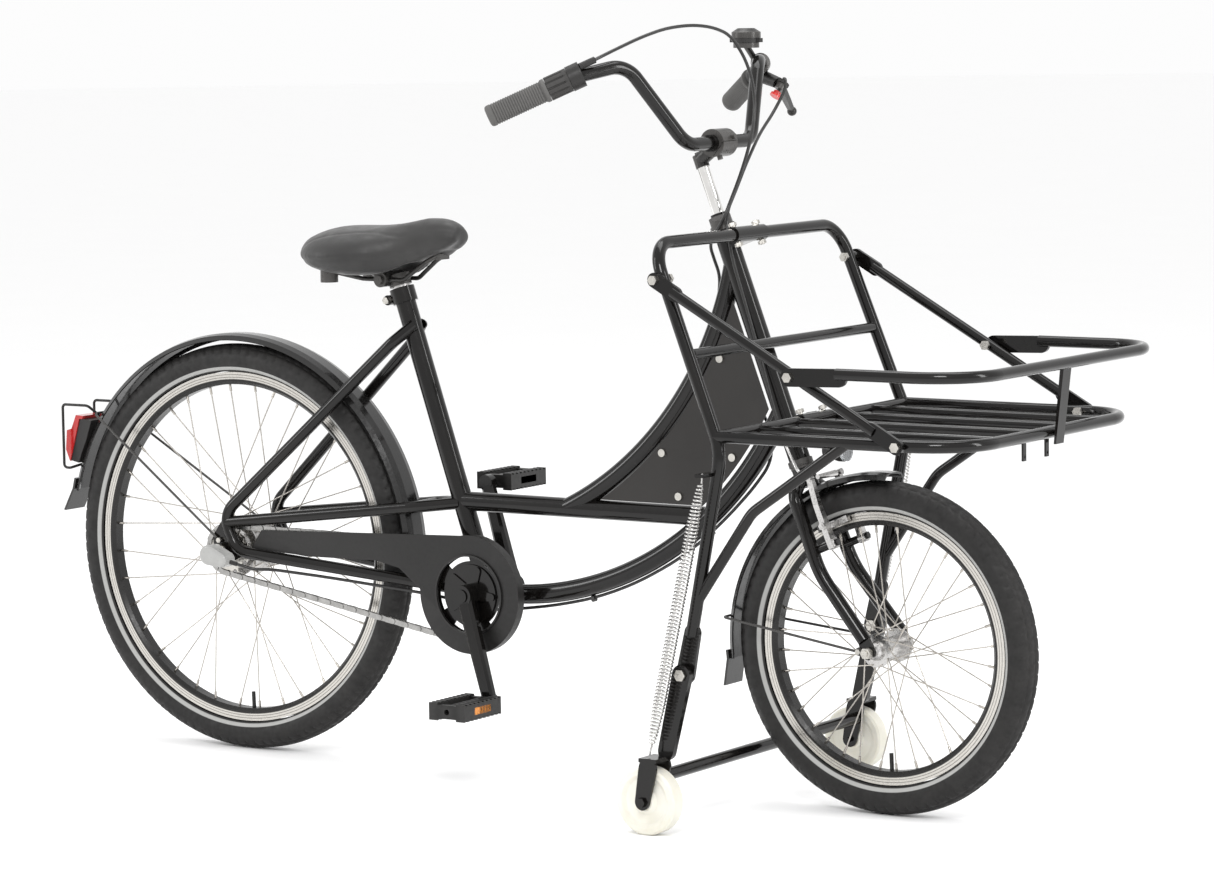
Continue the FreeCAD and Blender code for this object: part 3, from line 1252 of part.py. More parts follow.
def cargo_platform():
    """Front loop, rear bar, four lengthwise slats and the two holed tabs below the front."""
    loop = tube(platform_path(), PLATFORM_TUBE_R, 1.6, PLATFORM_CORNER_R).cut(hoop_envelope())
    loop = keep(loop, V(1300, 0, PLATFORM_Z))
    rear_ends = [V(REAR_BAR_X, -UPRIGHT_Y, PLATFORM_Z), V(REAR_BAR_X, UPRIGHT_Y, PLATFORM_Z)]
    loop = loop.cut(cylinder(at(ARM_FOOT, -300), at(ARM_FOOT, 300), 4.1))
    rear = tube(rear_ends, 8.5, 1.5).cut(hoop_envelope()).cut(platform_envelope())
    rear = keep(rear, V(REAR_BAR_X, 0, PLATFORM_Z))
    for y in (-BRACKET_BOLT_Y, BRACKET_BOLT_Y):
        rear = rear.cut(bracket_bolt(REAR_BAR_BOLT, y, 3.6))
    parts = [loop, rear]
    rear_solid = cylinder(*rear_ends, 8.5)
    for k in range(4):
        y = (k - 1.5) * UPRIGHT_Y * 0.4
        slat = tube([V(REAR_BAR_X, y, PLATFORM_Z), V(PLATFORM_FRONT_X, y, PLATFORM_Z)], SLAT_R, 1.2)
        slat = slat.cut(rear_solid).cut(platform_envelope())
        parts.append(keep(slat, V(1300, y, PLATFORM_Z)))
    for y in TAB_Y:
        tab = box(V(PLATFORM_FRONT_X, y, PLATFORM_Z - 17), V(3, 9, 34))
        tab = tab.cut(cylinder(V(1400, y, TAB_HOLE_Z), V(1500, y, TAB_HOLE_Z), 2.2))
        parts.append(keep(tab.cut(platform_envelope()), V(PLATFORM_FRONT_X, y, PLATFORM_Z - 30)))
    return parts


ARM_FOOT = V(1375, -ARM_Y, PLATFORM_Z)
RAIL_BOLT = V(1211, -ARM_Y, 676)


def flat_ended_tube(a, b, r, flat_a, flat_b, y, half_thick=3.0):
    """A straight tube in a plane beside the bicycle, pressed flat at both ends."""
    along = (b - a).normalize()
    start, end = a + along * flat_a, b - along * flat_b
    body = cylinder(start, end, r).cut(cylinder(start, end, r - 1.5))
    wide = r * 1.35
    first = link_plate(a, start + along * 6, wide, wide, y - half_thick, y + half_thick)
    last = link_plate(b, end - along * 6, wide, wide, y - half_thick, y + half_thick)
    shape = body.fuse(first).fuse(last)
    for point in (a, b):
        shape = shape.cut(cylinder(at(point, y - 20), at(point, y + 20), 4.1))
    return shape


def carrier_struts():
    """Two long diagonal arms above the platform and two short bent braces below it."""
    arm = flat_ended_tube(arm_top(), ARM_FOOT, ARM_R, 34, 40, -ARM_Y)
    hole = cylinder(at(RAIL_BOLT, -330), at(RAIL_BOLT, -250), 4.1)
    arm = arm.cut(hole)
    brace_path = [V(1036, -UPRIGHT_Y, 345), V(1128, -UPRIGHT_Y, 476), V(1288, -UPRIGHT_Y, 584)]
    brace = tube(brace_path, ARM_R, 1.5, 60)
    brace = keep(brace.cut(hoop_envelope()).cut(platform_envelope()), V(1136, -UPRIGHT_Y, 470))
    spacer = ring(at(arm_top(), -ARM_Y + 3.1), at(arm_top(), -hoop_y(806) - HOOP_R + 3), 8, 4.1)
    spacer = keep(spacer.cut(hoop_envelope()), at(arm_top(), -ARM_Y + 6))
    return both(arm, brace, spacer)


def rail_path():
    y = RAIL_Y + 7.5
    return [V(1288, -y, RAIL_Z), V(RAIL_FRONT_X, -y, RAIL_Z), V(RAIL_FRONT_X, y, RAIL_Z),
            V(1288, y, RAIL_Z)]


def carrier_railing():
    """Loop in front of and beside the load, its ends pressed flat and bolted to the arms."""
    loop = tube(rail_path(), RAIL_R, 1.6, 88)
    y = -RAIL_Y - 7.5
    tab = link_plate(RAIL_BOLT, V(1292, 0, RAIL_Z - 5), 13, 13, y - 3, y + 3)
    tab = tab.cut(rod(rail_path(), RAIL_R, 88))
    tab = max(tab.Solids, key=lambda solid: solid.Volume)
    tab = tab.cut(cylinder(at(RAIL_BOLT, y - 10), at(RAIL_BOLT, y + 10), 4.1))
    spacer = ring(at(RAIL_BOLT, -ARM_Y - ARM_R - 0.1), at(RAIL_BOLT, y + 3.1), 7, 4.1)
    strap = plate([(RAIL_FRONT_X - 3, RAIL_Z - 6), (RAIL_FRONT_X + 3, RAIL_Z - 6),
                   (PLATFORM_FRONT_X + 15, PLATFORM_Z - 16), (PLATFORM_FRONT_X + 11.3, PLATFORM_Z - 16)],
                  -24, 0)
    strap = strap.cut(rod(rail_path(), RAIL_R, 88)).cut(platform_envelope(0.1))
    strap = keep(strap, V(1485, -12, 630))
    return [loop, strap] + both(tab, spacer)


def frame_bolts():
    """Bright bolts of the carrier and the stand pivots."""
    parts = []
    parts += both(bolt(at(arm_top(), -ARM_Y - 3.1), at(arm_top(), -UPRIGHT_Y + 25), 4, 13, 5, nut_at=37))
    parts += both(bolt(at(ARM_FOOT, -ARM_Y - 3.1), at(ARM_FOOT, -UPRIGHT_Y + 17), 4, 13, 5, nut_at=30))
    parts += both(bolt(at(RAIL_BOLT, -RAIL_Y - 10.6), at(RAIL_BOLT, -ARM_Y + 17), 4, 13, 5, nut_at=30))
    pivot_bolt = bolt(at(STAND_PIVOT, -UPRIGHT_Y + 3.2), at(STAND_PIVOT, -UPRIGHT_Y - 19), 5, 16, 6)
    outer_nut = hexagon(at(STAND_PIVOT, -UPRIGHT_Y - 14.7), V(0, -1, 0), 16, 4)
    parts += both(pivot_bolt.fuse(outer_nut))
    for centre in (HOOP_BOLT, REAR_BAR_BOLT):
        for y in (-BRACKET_BOLT_Y, BRACKET_BOLT_Y):
            shape = bracket_bolt(centre, y)
            shape = shape.fuse(hexagon(at(centre, y) - STEER_DOWN * 13.2, STEER_DOWN * -1, 11, 5))
            shape = shape.fuse(hexagon(at(centre, y) + STEER_DOWN * 13.2, STEER_DOWN, 11, 5))
            parts.append(shape)
    return parts


def cradle(centre, bar_r, web_half):
    """A block round a cross tube, on a web that is welded to the head tube."""
    outer = cylinder(at(centre, -43), at(centre, 43), bar_r + 2.6)
    foot = HEAD_TOP + STEER_DOWN * ((centre - HEAD_TOP).dot(STEER_DOWN))
    reach = (centre - foot).Length
    web = Part.makeBox(reach, 2 * web_half, 24, V(0, -web_half, -12))
    turn = math.degrees(math.atan2(STEER_FRONT.z, STEER_FRONT.x))
    web = turned(web, V(0, 0, 0), Y_AXIS, -turn)
    web.translate(V(foot.x, 0, foot.z))
    shape = outer.fuse(web)
    shape = shape.cut(cylinder(at(centre, -60), at(centre, 60), bar_r + 0.05)).cut(head_envelope())
    for y in (-BRACKET_BOLT_Y, BRACKET_BOLT_Y):
        shape = shape.cut(bracket_bolt(centre, y, 3.6))
    return max(shape.Solids, key=lambda solid: solid.Volume)


def head_brackets():
    """Clamp blocks that join the hoop and the platform's rear bar to the head tube."""
    return [cradle(HOOP_BOLT, HOOP_R, 14), cradle(REAR_BAR_BOLT, 8.5, 14)]


def stand_springs():
    """Coil springs from the lugs on the uprights to the roller forks."""
    top, low = spring_ends()
    direction = (low - top).normalize()
    coil = ring(top + direction * 14, low - direction * 14, 10, 7.6)
    hooks = [cylinder(top, top + direction * 13.9, 1.5), cylinder(low - direction * 13.9, low, 1.5)]
    return both(coil, *hooks)


def spring_ends():
    return at(SPRING_TOP, -SPRING_Y), V(974, -SPRING_Y, 117)


# ------------------------------------------------------------------ stand
STAND_LEG_Y0, STAND_LEG_Y1 = 276.2, 286.2


def stand_frame():
    """Two legs, the roller forks at their feet, the cross tube and the roller bolts."""
    foot_point = V(985, 0, 121)
    leg = link_plate(STAND_PIVOT, foot_point, 15, 13, -STAND_LEG_Y1, -STAND_LEG_Y0)
    leg = leg.cut(cylinder(at(STAND_PIVOT, -300), at(STAND_PIVOT, -200), 5.05))
    inner, outer = STAND_ROLLER_Y - ROLLER_HALF - 7, STAND_ROLLER_Y + ROLLER_HALF + 7
    top_z, low_z = 112.0, 38.0
    fork_shape = None
    for y in (inner, outer - 4):
        cheek = link_plate(V(975, 0, top_z - 12), V(ROLLER_X, 0, 50), 15, 12, -y - 4, -y)
        fork_shape = cheek if fork_shape is None else fork_shape.fuse(cheek)
    bridge = box(V(975, -(inner + outer) / 2, top_z - 0.5), V(30, outer - inner, 6))
    fork_shape = fork_shape.fuse(bridge)
    leg = leg.cut(fork_shape)
    leg = max(leg.Solids, key=lambda solid: solid.Volume)
    axle = V(ROLLER_X, 0, ROLLER_R_OUT)
    fork_shape = fork_shape.cut(cylinder(at(axle, -400), at(axle, -200), 4.1))
    roller_bolt = bolt(at(axle, -outer - 0.1), at(axle, -inner + 8), 4, 13, 5)
    cross = tube([V(976, -inner, 84), V(976, inner, 84)], 9.5, 1.6)
    return both(leg, fork_shape, roller_bolt) + [cross]


def roller(side):
    centre = V(ROLLER_X, side * STAND_ROLLER_Y, ROLLER_R_OUT)
    outline = [(-ROLLER_HALF - 2, 14), (-ROLLER_HALF, 16), (-ROLLER_HALF + 3, 20), (-ROLLER_HALF + 3, 34),
               (-ROLLER_HALF, 40), (-ROLLER_HALF, ROLLER_R_OUT - 3), (-ROLLER_HALF + 3, ROLLER_R_OUT),
               (ROLLER_HALF - 3, ROLLER_R_OUT), (ROLLER_HALF, ROLLER_R_OUT - 3), (ROLLER_HALF, 40),
               (ROLLER_HALF - 3, 34), (ROLLER_HALF - 3, 20), (ROLLER_HALF, 16), (ROLLER_HALF + 2, 14)]
    return hub(centre, outline, 4.05)


# ------------------------------------------------------------------ all sub-parts
PARTS = {
    "head_tube": head_tube,
    "headset": headset,
    "seat_tube": seat_tube,
    "seat_clamp": seat_clamp,
    "bottom_bracket": bottom_bracket,
    "down_tube": down_tube,
    "middle_tube": middle_tube,
    "upper_tube": upper_tube,
    "frame_panel": frame_panel,
    "rear_stays": rear_stays,
    "rear_axle": rear_axle,
    "shifter_box": shifter_box,
    "chain_guard": chain_guard,
    "chain": chain,
    "rear_mudguard": rear_mudguard,
    "rear_mudguard_stays": rear_mudguard_stays,
    "rear_lamp": rear_lamp,
    "carrier_hoop": carrier_hoop,
    "cargo_platform": cargo_platform,
    "carrier_struts": carrier_struts,
    "carrier_railing": carrier_railing,
    "frame_bolts": frame_bolts,
    "head_brackets": head_brackets,
    "frame_cable": frame_cable,
    "stand_springs": stand_springs,
    "fork": fork,
    "front_axle": front_axle,
    "front_mudguard": front_mudguard,
    "front_mudguard_stay": front_mudguard_stay,
    "headlamp": headlamp,
    "stem": stem,
    "handlebar": handlebar,
    "grips": grips,
    "control_housings": control_housings,
    "bell": bell,
    "control_cables": control_cables,
    "bell_lever": bell_lever,
    "twist_shifter": twist_shifter,
    "brake_lever": brake_lever,
    "parking_lock": parking_lock,
    "brake_arm_right": brake_arm_right,
    "brake_arm_left": brake_arm_left,
    "front_tyre": lambda: tyre(FRONT_AXLE, FRONT_TYRE_R),
    "front_rim": lambda: rim(FRONT_AXLE, FRONT_RIM_R, -88),
    "front_spokes": lambda: spokes(FRONT_AXLE, FRONT_RIM_R - RIM_DEPTH, FRONT_FLANGE_R,
                                   FRONT_FLANGE_Y, 1.5, 60),
    "front_hub": front_hub,
    "rear_tyre": lambda: tyre(REAR_AXLE, REAR_TYRE_R),
    "rear_rim": lambda: rim(REAR_AXLE, REAR_RIM_R, -88),
    "rear_spokes": lambda: spokes(REAR_AXLE, REAR_RIM_R - RIM_DEPTH, REAR_FLANGE_R,
                                  REAR_FLANGE_Y, 1.5, 60),
    "rear_hub": rear_hub,
    "crankset": crankset,
    "sprocket": sprocket,
    "pedal_right": pedal_right,
    "pedal_left": pedal_left,
    "saddle_cover": saddle_cover,
    "saddle_rails": saddle_rails,
    "seat_post": seat_post,
    "stand_frame": stand_frame,
    "roller_right": lambda: roller(-1),
    "roller_left": lambda: roller(1),
}


def main():
    shapes = {}
    for name, make in PARTS.items():
        solids = []
        for shape in make():
            solids += shape.Solids
        shapes[name] = Part.makeCompound(solids)
    bounds = Part.makeCompound(list(shapes.values())).optimalBoundingBox(True, False)
    shift = V(-(bounds.XMin + bounds.XMax) / 2, 0, 0)
    print(f"moved along x by {shift.x:.3f} mm")
    os.makedirs("parts", exist_ok=True)
    for name, shape in shapes.items():
        shape.translate(shift)
        shape.exportStep(f"parts/{name}.step")


main()
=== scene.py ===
import json
import math

import bmesh
import bpy
from mathutils import Matrix, Vector


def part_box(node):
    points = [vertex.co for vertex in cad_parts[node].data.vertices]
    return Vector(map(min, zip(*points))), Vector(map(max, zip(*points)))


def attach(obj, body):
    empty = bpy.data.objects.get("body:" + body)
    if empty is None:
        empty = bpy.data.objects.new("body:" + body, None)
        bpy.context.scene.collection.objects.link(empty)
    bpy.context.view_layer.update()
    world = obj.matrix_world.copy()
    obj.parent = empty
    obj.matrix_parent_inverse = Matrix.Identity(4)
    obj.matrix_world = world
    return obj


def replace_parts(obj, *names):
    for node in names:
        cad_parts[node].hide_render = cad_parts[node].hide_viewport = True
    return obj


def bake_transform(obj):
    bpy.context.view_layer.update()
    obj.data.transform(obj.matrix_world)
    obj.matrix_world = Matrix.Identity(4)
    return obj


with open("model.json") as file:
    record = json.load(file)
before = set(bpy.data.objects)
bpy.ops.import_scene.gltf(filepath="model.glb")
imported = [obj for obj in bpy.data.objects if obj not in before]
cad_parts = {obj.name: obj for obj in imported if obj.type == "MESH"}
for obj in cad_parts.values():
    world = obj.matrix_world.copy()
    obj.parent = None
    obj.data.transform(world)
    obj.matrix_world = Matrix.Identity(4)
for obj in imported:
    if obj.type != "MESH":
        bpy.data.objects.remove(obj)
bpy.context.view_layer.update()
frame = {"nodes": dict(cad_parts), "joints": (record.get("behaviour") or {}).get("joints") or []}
NODES = frame["nodes"]
JOINTS = {joint["name"]: joint for joint in frame["joints"]}


def joint_place(name):
    return Vector(JOINTS[name]["pos_m"])


def half_height(node):
    low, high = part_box(node)
    return (high.z - low.z) / 2


FRONT_AXLE = joint_place("front_wheel_spin")
REAR_AXLE = joint_place("rear_wheel_spin")
BB = joint_place("crank_turn")
UP = Vector((0, 0, 1))


# ------------------------------------------------------------------ material helpers
class Mat:
    """A node material being built: a principled shader and short ways to feed it."""

    def __init__(self, name, colour, roughness, metallic=0.0):
        self.material = bpy.data.materials.new(name)
        self.material.use_nodes = True
        self.tree = self.material.node_tree
        self.shader = self.tree.nodes["Principled BSDF"]
        self.set("Base Color", (*colour, 1))
        self.set("Roughness", roughness)
        self.set("Metallic", metallic)
        self.coords = self.tree.nodes.new("ShaderNodeTexCoord").outputs["Object"]
        self.height = None

    def set(self, socket, value):
        self.shader.inputs[socket].default_value = value
        return self

    def link(self, a, b):
        self.tree.links.new(a, b)

    def node(self, kind, inputs=None, **settings):
        node = self.tree.nodes.new(kind)
        for key, value in settings.items():
            setattr(node, key, value)
        for key, value in (inputs or {}).items():
            if isinstance(value, bpy.types.NodeSocket):
                self.link(value, node.inputs[key])
            else:
                node.inputs[key].default_value = value
        return node

    def stretched(self, scale):
        return self.node("ShaderNodeMapping", {"Vector": self.coords, "Scale": scale}).outputs[0]

    def noise(self, scale, detail=4.0, stretch=None):
        vector = self.stretched(stretch) if stretch else self.coords
        inputs = {"Vector": vector, "Scale": scale, "Detail": detail}
        return self.node("ShaderNodeTexNoise", inputs).outputs["Fac"]

    def math(self, operation, a, b=0.0, clamp=False):
        return self.node("ShaderNodeMath", {0: a, 1: b}, operation=operation, use_clamp=clamp).outputs[0]

    def ramp(self, factor, low, high, start=0.3, end=0.7):
        """A smooth change between two numbers or colours as the factor goes from start to end."""
        ramp = self.node("ShaderNodeValToRGB", {"Fac": factor})
        colours = [c if isinstance(c, (tuple, list)) else (c, c, c) for c in (low, high)]
        ramp.color_ramp.elements[0].position = start
        ramp.color_ramp.elements[0].color = (*colours[0], 1)
        ramp.color_ramp.elements[1].position = end
        ramp.color_ramp.elements[1].color = (*colours[1], 1)
        return ramp.outputs["Color"]

    def mix(self, factor, a, b):
        node = self.node("ShaderNodeMix", data_type="RGBA")
        for socket, value in ((0, factor), (6, a), (7, b)):
            if isinstance(value, bpy.types.NodeSocket):
                self.link(value, node.inputs[socket])
            else:
                node.inputs[socket].default_value = value if socket == 0 else (*value, 1)
        return node.outputs[2]

    def colour(self, output):
        self.link(output, self.shader.inputs["Base Color"])
        return self

    def rough(self, output):
        self.link(output, self.shader.inputs["Roughness"])
        return self

    def metal(self, output):
        self.link(output, self.shader.inputs["Metallic"])
        return self

    def bump(self, output, strength=0.2, distance=0.0005):
        """Adds a height to what is there already."""
        inputs = {"Height": output, "Strength": strength, "Distance": distance}
        if self.height:
            inputs["Normal"] = self.height
        self.height = self.node("ShaderNodeBump", inputs).outputs[0]
        self.link(self.height, self.shader.inputs["Normal"])
        return self

    def edge_wear(self, colour, worn, amount=0.5):
        """The base colour, lighter where the surface has a convex edge."""
        pointiness = self.node("ShaderNodeNewGeometry").outputs["Pointiness"]
        edge = self.ramp(pointiness, 0.0, amount, 0.51, 0.6)
        return self.colour(self.mix(edge, colour, worn))

    def radius_from(self, centre):
        """The distance from a wheel's axle line, in metres."""
        inputs = {0: self.coords, 1: tuple(centre)}
        offset = self.node("ShaderNodeVectorMath", inputs, operation="SUBTRACT").outputs[0]
        flat = self.node("ShaderNodeVectorMath", {0: offset, 1: (1, 0, 1)}, operation="MULTIPLY").outputs[0]
        return self.node("ShaderNodeVectorMath", {0: flat}, operation="LENGTH").outputs["Value"]

    def band(self, value, low, high, soft=0.0004):
        """One between two values and zero outside them."""
        edges = ((low - soft, low + soft), (high + soft, high - soft))
        rise, fall = [self.node("ShaderNodeMapRange", {"Value": value, "From Min": start, "From Max": end})
                      for start, end in edges]
        return self.math("MULTIPLY", rise.outputs[0], fall.outputs[0])


# ------------------------------------------------------------------ the materials
def gloss_paint(name="gloss_black_paint"):
    m = Mat(name, (0.004, 0.0037, 0.0035), 0.16)
    m.colour(m.ramp(m.noise(9, 3), (0.0028, 0.0025, 0.0024), (0.0062, 0.0054, 0.0048)))
    m.rough(m.ramp(m.noise(140, 6), 0.1, 0.2))
    m.set("Coat Weight", 0.25).set("Coat Roughness", 0.04).set("IOR", 1.3)
    return m.bump(m.noise(420, 2), 0.05, 0.0003).material


def satin_panel():
    m = Mat("satin_panel", (0.016, 0.014, 0.013), 0.45)
    m.colour(m.ramp(m.noise(6, 5), (0.013, 0.0115, 0.0105), (0.02, 0.018, 0.0165)))
    m.set("IOR", 1.4)
    m.rough(m.ramp(m.noise(220, 5), 0.36, 0.5))
    return m.bump(m.noise(900, 3), 0.1, 0.0002).material


def plated_steel(name="plated_steel", colour=(0.6, 0.58, 0.54), roughness=0.3):
    m = Mat(name, colour, roughness, 1.0)
    dark = tuple(c * 0.72 for c in colour)
    m.colour(m.ramp(m.noise(60, 5), dark, colour))
    m.rough(m.ramp(m.noise(260, 5), roughness - 0.1, roughness + 0.12))
    return m.bump(m.noise(700, 3), 0.08, 0.0002).material


def chrome():
    m = Mat("chrome", (0.78, 0.77, 0.75), 0.06, 1.0)
    m.colour(m.ramp(m.noise(30, 4), (0.68, 0.67, 0.65), (0.83, 0.82, 0.8)))
    m.rough(m.ramp(m.noise(90, 6), 0.04, 0.12))
    return m.bump(m.noise(60, 2), 0.02, 0.0003).material


def moulded(name, colour, roughness=0.5, grain=0.25, coat=0.0):
    """Injection-moulded plastic or rubber: a fine grain, slightly paler on its edges."""
    m = Mat(name, colour, roughness)
    m.set("IOR", 1.42)
    pale = tuple(min(1.0, c * 1.6 + 0.01) for c in colour)
    m.edge_wear(m.ramp(m.noise(25, 4), tuple(c * 0.8 for c in colour), colour), pale, 0.6)
    m.rough(m.ramp(m.noise(180, 5), roughness - 0.08, roughness + 0.1))
    m.set("Coat Weight", coat)
    return m.bump(m.noise(1600, 3), grain, 0.0002).material


def satin_metal(name="satin_black_metal", colour=(0.02, 0.019, 0.018), roughness=0.3):
    m = Mat(name, colour, roughness, 0.25)
    m.edge_wear(m.ramp(m.noise(40, 5), tuple(c * 0.7 for c in colour), colour), (0.1, 0.095, 0.09), 0.5)
    m.rough(m.ramp(m.noise(200, 5), roughness - 0.07, roughness + 0.1))
    return m.bump(m.noise(900, 3), 0.1, 0.0002).material


def brushed_aluminium(name="brushed_aluminium", colour=(0.62, 0.61, 0.6), roughness=0.28):
    m = Mat(name, colour, roughness, 1.0)
    lines = m.noise(300, 4, (1, 0.1, 1))
    m.colour(m.ramp(lines, tuple(c * 0.78 for c in colour), colour))
    m.rough(m.ramp(lines, roughness - 0.07, roughness + 0.12))
    return m.bump(lines, 0.08, 0.0002).material


def rim_metal(name, centre, outer):
    """Machined brake track at the edge, with two fine grooves, and black anodising inside it."""
    m = Mat(name, (0.6, 0.6, 0.58), 0.3, 1.0)
    radius = m.radius_from(centre)
    track = m.band(radius, outer - 0.0115, outer + 0.01)
    turned = m.node("ShaderNodeTexNoise", {"W": m.math("MULTIPLY", radius, 2600.0), "Scale": 1.0},
                    noise_dimensions="1D").outputs["Fac"]
    silver = m.ramp(turned, (0.42, 0.4, 0.37), (0.66, 0.64, 0.6))
    grooves = m.math("ADD", m.band(radius, outer - 0.0045, outer - 0.0038, 0.0002),
                     m.band(radius, outer - 0.0088, outer - 0.0081, 0.0002), True)
    silver = m.mix(grooves, silver, (0.05, 0.045, 0.04))
    m.colour(m.mix(track, (0.008, 0.0075, 0.007), silver))
    m.metal(m.ramp(track, 0.3, 1.0, 0.0, 1.0))
    m.rough(m.ramp(m.noise(150, 4), 0.22, 0.34))
    return m.bump(turned, 0.05, 0.0002).material


def tyre_rubber(name, centre, rim_radius, outer):
    """Black rubber with a pale reflective line beside the rim and moulded rings on the sidewall."""
    m = Mat(name, (0.012, 0.0115, 0.011), 0.62)
    m.set("IOR", 1.4)
    radius = m.radius_from(centre)
    black = m.ramp(m.noise(35, 6), (0.0075, 0.007, 0.0068), (0.015, 0.014, 0.0135))
    dust = m.ramp(m.noise(14, 5), 0.0, 0.35, 0.45, 0.8)
    tread = m.band(radius, outer - 0.012, outer + 0.01, 0.004)
    black = m.mix(m.math("MULTIPLY", dust, tread), black, (0.026, 0.024, 0.0225))
    stripe = m.band(radius, rim_radius + 0.0038, rim_radius + 0.0092, 0.0005)
    m.colour(m.mix(stripe, black, (0.36, 0.36, 0.35)))
    m.rough(m.ramp(m.noise(120, 5), 0.5, 0.72))
    rings = m.node("ShaderNodeTexWave", {"Vector": m.node("ShaderNodeCombineXYZ", {0: radius}).outputs[0],
                                         "Scale": 130.0, "Distortion": 0.0}).outputs["Fac"]
    m.bump(rings, 0.12, 0.0004)
    return m.bump(m.noise(700, 4), 0.25, 0.0003).material


def saddle_vinyl():
    m = Mat("saddle_vinyl", (0.016, 0.015, 0.0145), 0.45)
    cells = m.node("ShaderNodeTexVoronoi", {"Vector": m.coords, "Scale": 620.0}, feature="DISTANCE_TO_EDGE")
    m.colour(m.ramp(m.noise(12, 5), (0.011, 0.0104, 0.01), (0.02, 0.019, 0.018)))
    m.rough(m.ramp(m.noise(60, 5), 0.4, 0.58))
    m.set("Sheen Weight", 0.12).set("Sheen Roughness", 0.5)
    m.bump(m.ramp(cells.outputs["Distance"], 0.0, 1.0, 0.0, 0.25), 0.22, 0.0003)
    return m.bump(m.noise(90, 3), 0.08, 0.0008).material


def milky_nylon():
    m = Mat("milky_nylon", (0.72, 0.7, 0.62), 0.38)
    m.colour(m.ramp(m.noise(18, 5), (0.62, 0.6, 0.52), (0.78, 0.76, 0.69)))
    m.rough(m.ramp(m.noise(120, 5), 0.3, 0.5))
    m.set("Subsurface Weight", 0.35).set("Subsurface Radius", (0.02, 0.018, 0.014))
    m.set("Subsurface Scale", 0.5)
    return m.bump(m.noise(300, 4), 0.12, 0.0004).material


def clear_lens(name, colour, transmission=0.9):
    m = Mat(name, colour, 0.08)
    m.set("Transmission Weight", transmission).set("IOR", 1.49)
    m.rough(m.ramp(m.noise(80, 4), 0.05, 0.12))
    facets = m.node("ShaderNodeTexVoronoi", {"Vector": m.coords, "Scale": 260.0}).outputs["Distance"]
    return m.bump(facets, 0.5, 0.0006).material


PAINT = gloss_paint()
PANEL = satin_panel()
BOLTS = plated_steel()
SPOKE_STEEL = plated_steel("stainless_spokes", (0.52, 0.49, 0.45), 0.26)
CHAIN_STEEL = plated_steel("chain_steel", (0.38, 0.375, 0.365), 0.3)
SPRING_STEEL = plated_steel("spring_steel", (0.6, 0.59, 0.575), 0.18)
CHROME = chrome()
BLACK_METAL = satin_metal()
ALUMINIUM = brushed_aluminium()
MATT_PLASTIC = moulded("matt_black_plastic", (0.008, 0.0073, 0.0069), 0.44, 0.3)
GLOSS_PLASTIC = moulded("gloss_black_plastic", (0.005, 0.0047, 0.0045), 0.17, 0.05, 0.3)
SILVER_PLASTIC = moulded("silver_plastic", (0.38, 0.38, 0.37), 0.32, 0.1, 0.3)
GREY_RUBBER = moulded("grey_rubber", (0.085, 0.083, 0.08), 0.62, 0.4)
BLACK_RUBBER = moulded("black_rubber", (0.022, 0.021, 0.02), 0.6, 0.4)
CABLE = moulded("cable_jacket", (0.014, 0.0135, 0.013), 0.35, 0.15, 0.2)
RED_PLASTIC = moulded("red_plastic", (0.42, 0.018, 0.014), 0.3, 0.1, 0.3)
RED_LENS = moulded("red_lens", (0.3, 0.008, 0.008), 0.15, 0.15, 0.8)
AMBER = moulded("amber_reflector", (0.75, 0.22, 0.012), 0.18, 0.3, 0.8)
VINYL = saddle_vinyl()
NYLON = milky_nylon()
CLEAR = clear_lens("clear_lens", (0.85, 0.88, 0.9))

FINISH = {
    PAINT: ["head_tube", "seat_tube", "bottom_bracket", "down_tube", "middle_tube", "upper_tube",
            "rear_stays", "carrier_hoop", "cargo_platform", "carrier_struts", "carrier_railing",
            "head_brackets", "fork", "handlebar", "stand_frame", "crankset"],
    PANEL: ["frame_panel"],
    BOLTS: ["rear_axle", "frame_bolts", "front_axle", "sprocket"],
    SPOKE_STEEL: ["front_spokes", "rear_spokes"],
    CHAIN_STEEL: ["chain"],
    SPRING_STEEL: ["stand_springs"],
    CHROME: ["stem"],
    BLACK_METAL: ["headset", "rear_mudguard_stays", "front_mudguard_stay", "bell", "brake_lever",
                  "saddle_rails"],
    ALUMINIUM: ["brake_arm_right", "brake_arm_left", "front_hub", "rear_hub"],
    MATT_PLASTIC: ["chain_guard", "headlamp", "control_housings", "bell_lever",
                   "pedal_right", "pedal_left"],
    GLOSS_PLASTIC: ["rear_mudguard", "front_mudguard", "rear_lamp"],
    GREY_RUBBER: ["grips"],
    BLACK_RUBBER: ["twist_shifter"],
    CABLE: ["control_cables", "frame_cable"],
    RED_PLASTIC: ["parking_lock"],
    VINYL: ["saddle_cover"],
    NYLON: ["roller_right", "roller_left"],
}


def paint_node(name, material):
    mesh = NODES[name].data
    mesh.materials.clear()
    mesh.materials.append(material)
    smooth(NODES[name])


def smooth(obj, degrees=32):
    """Smooth shading with sharp edges kept, with no change to any vertex."""
    mesh = obj.data
    mesh.polygons.foreach_set("use_smooth", [True] * len(mesh.polygons))
    mesh.set_sharp_from_angle(angle=math.radians(degrees))


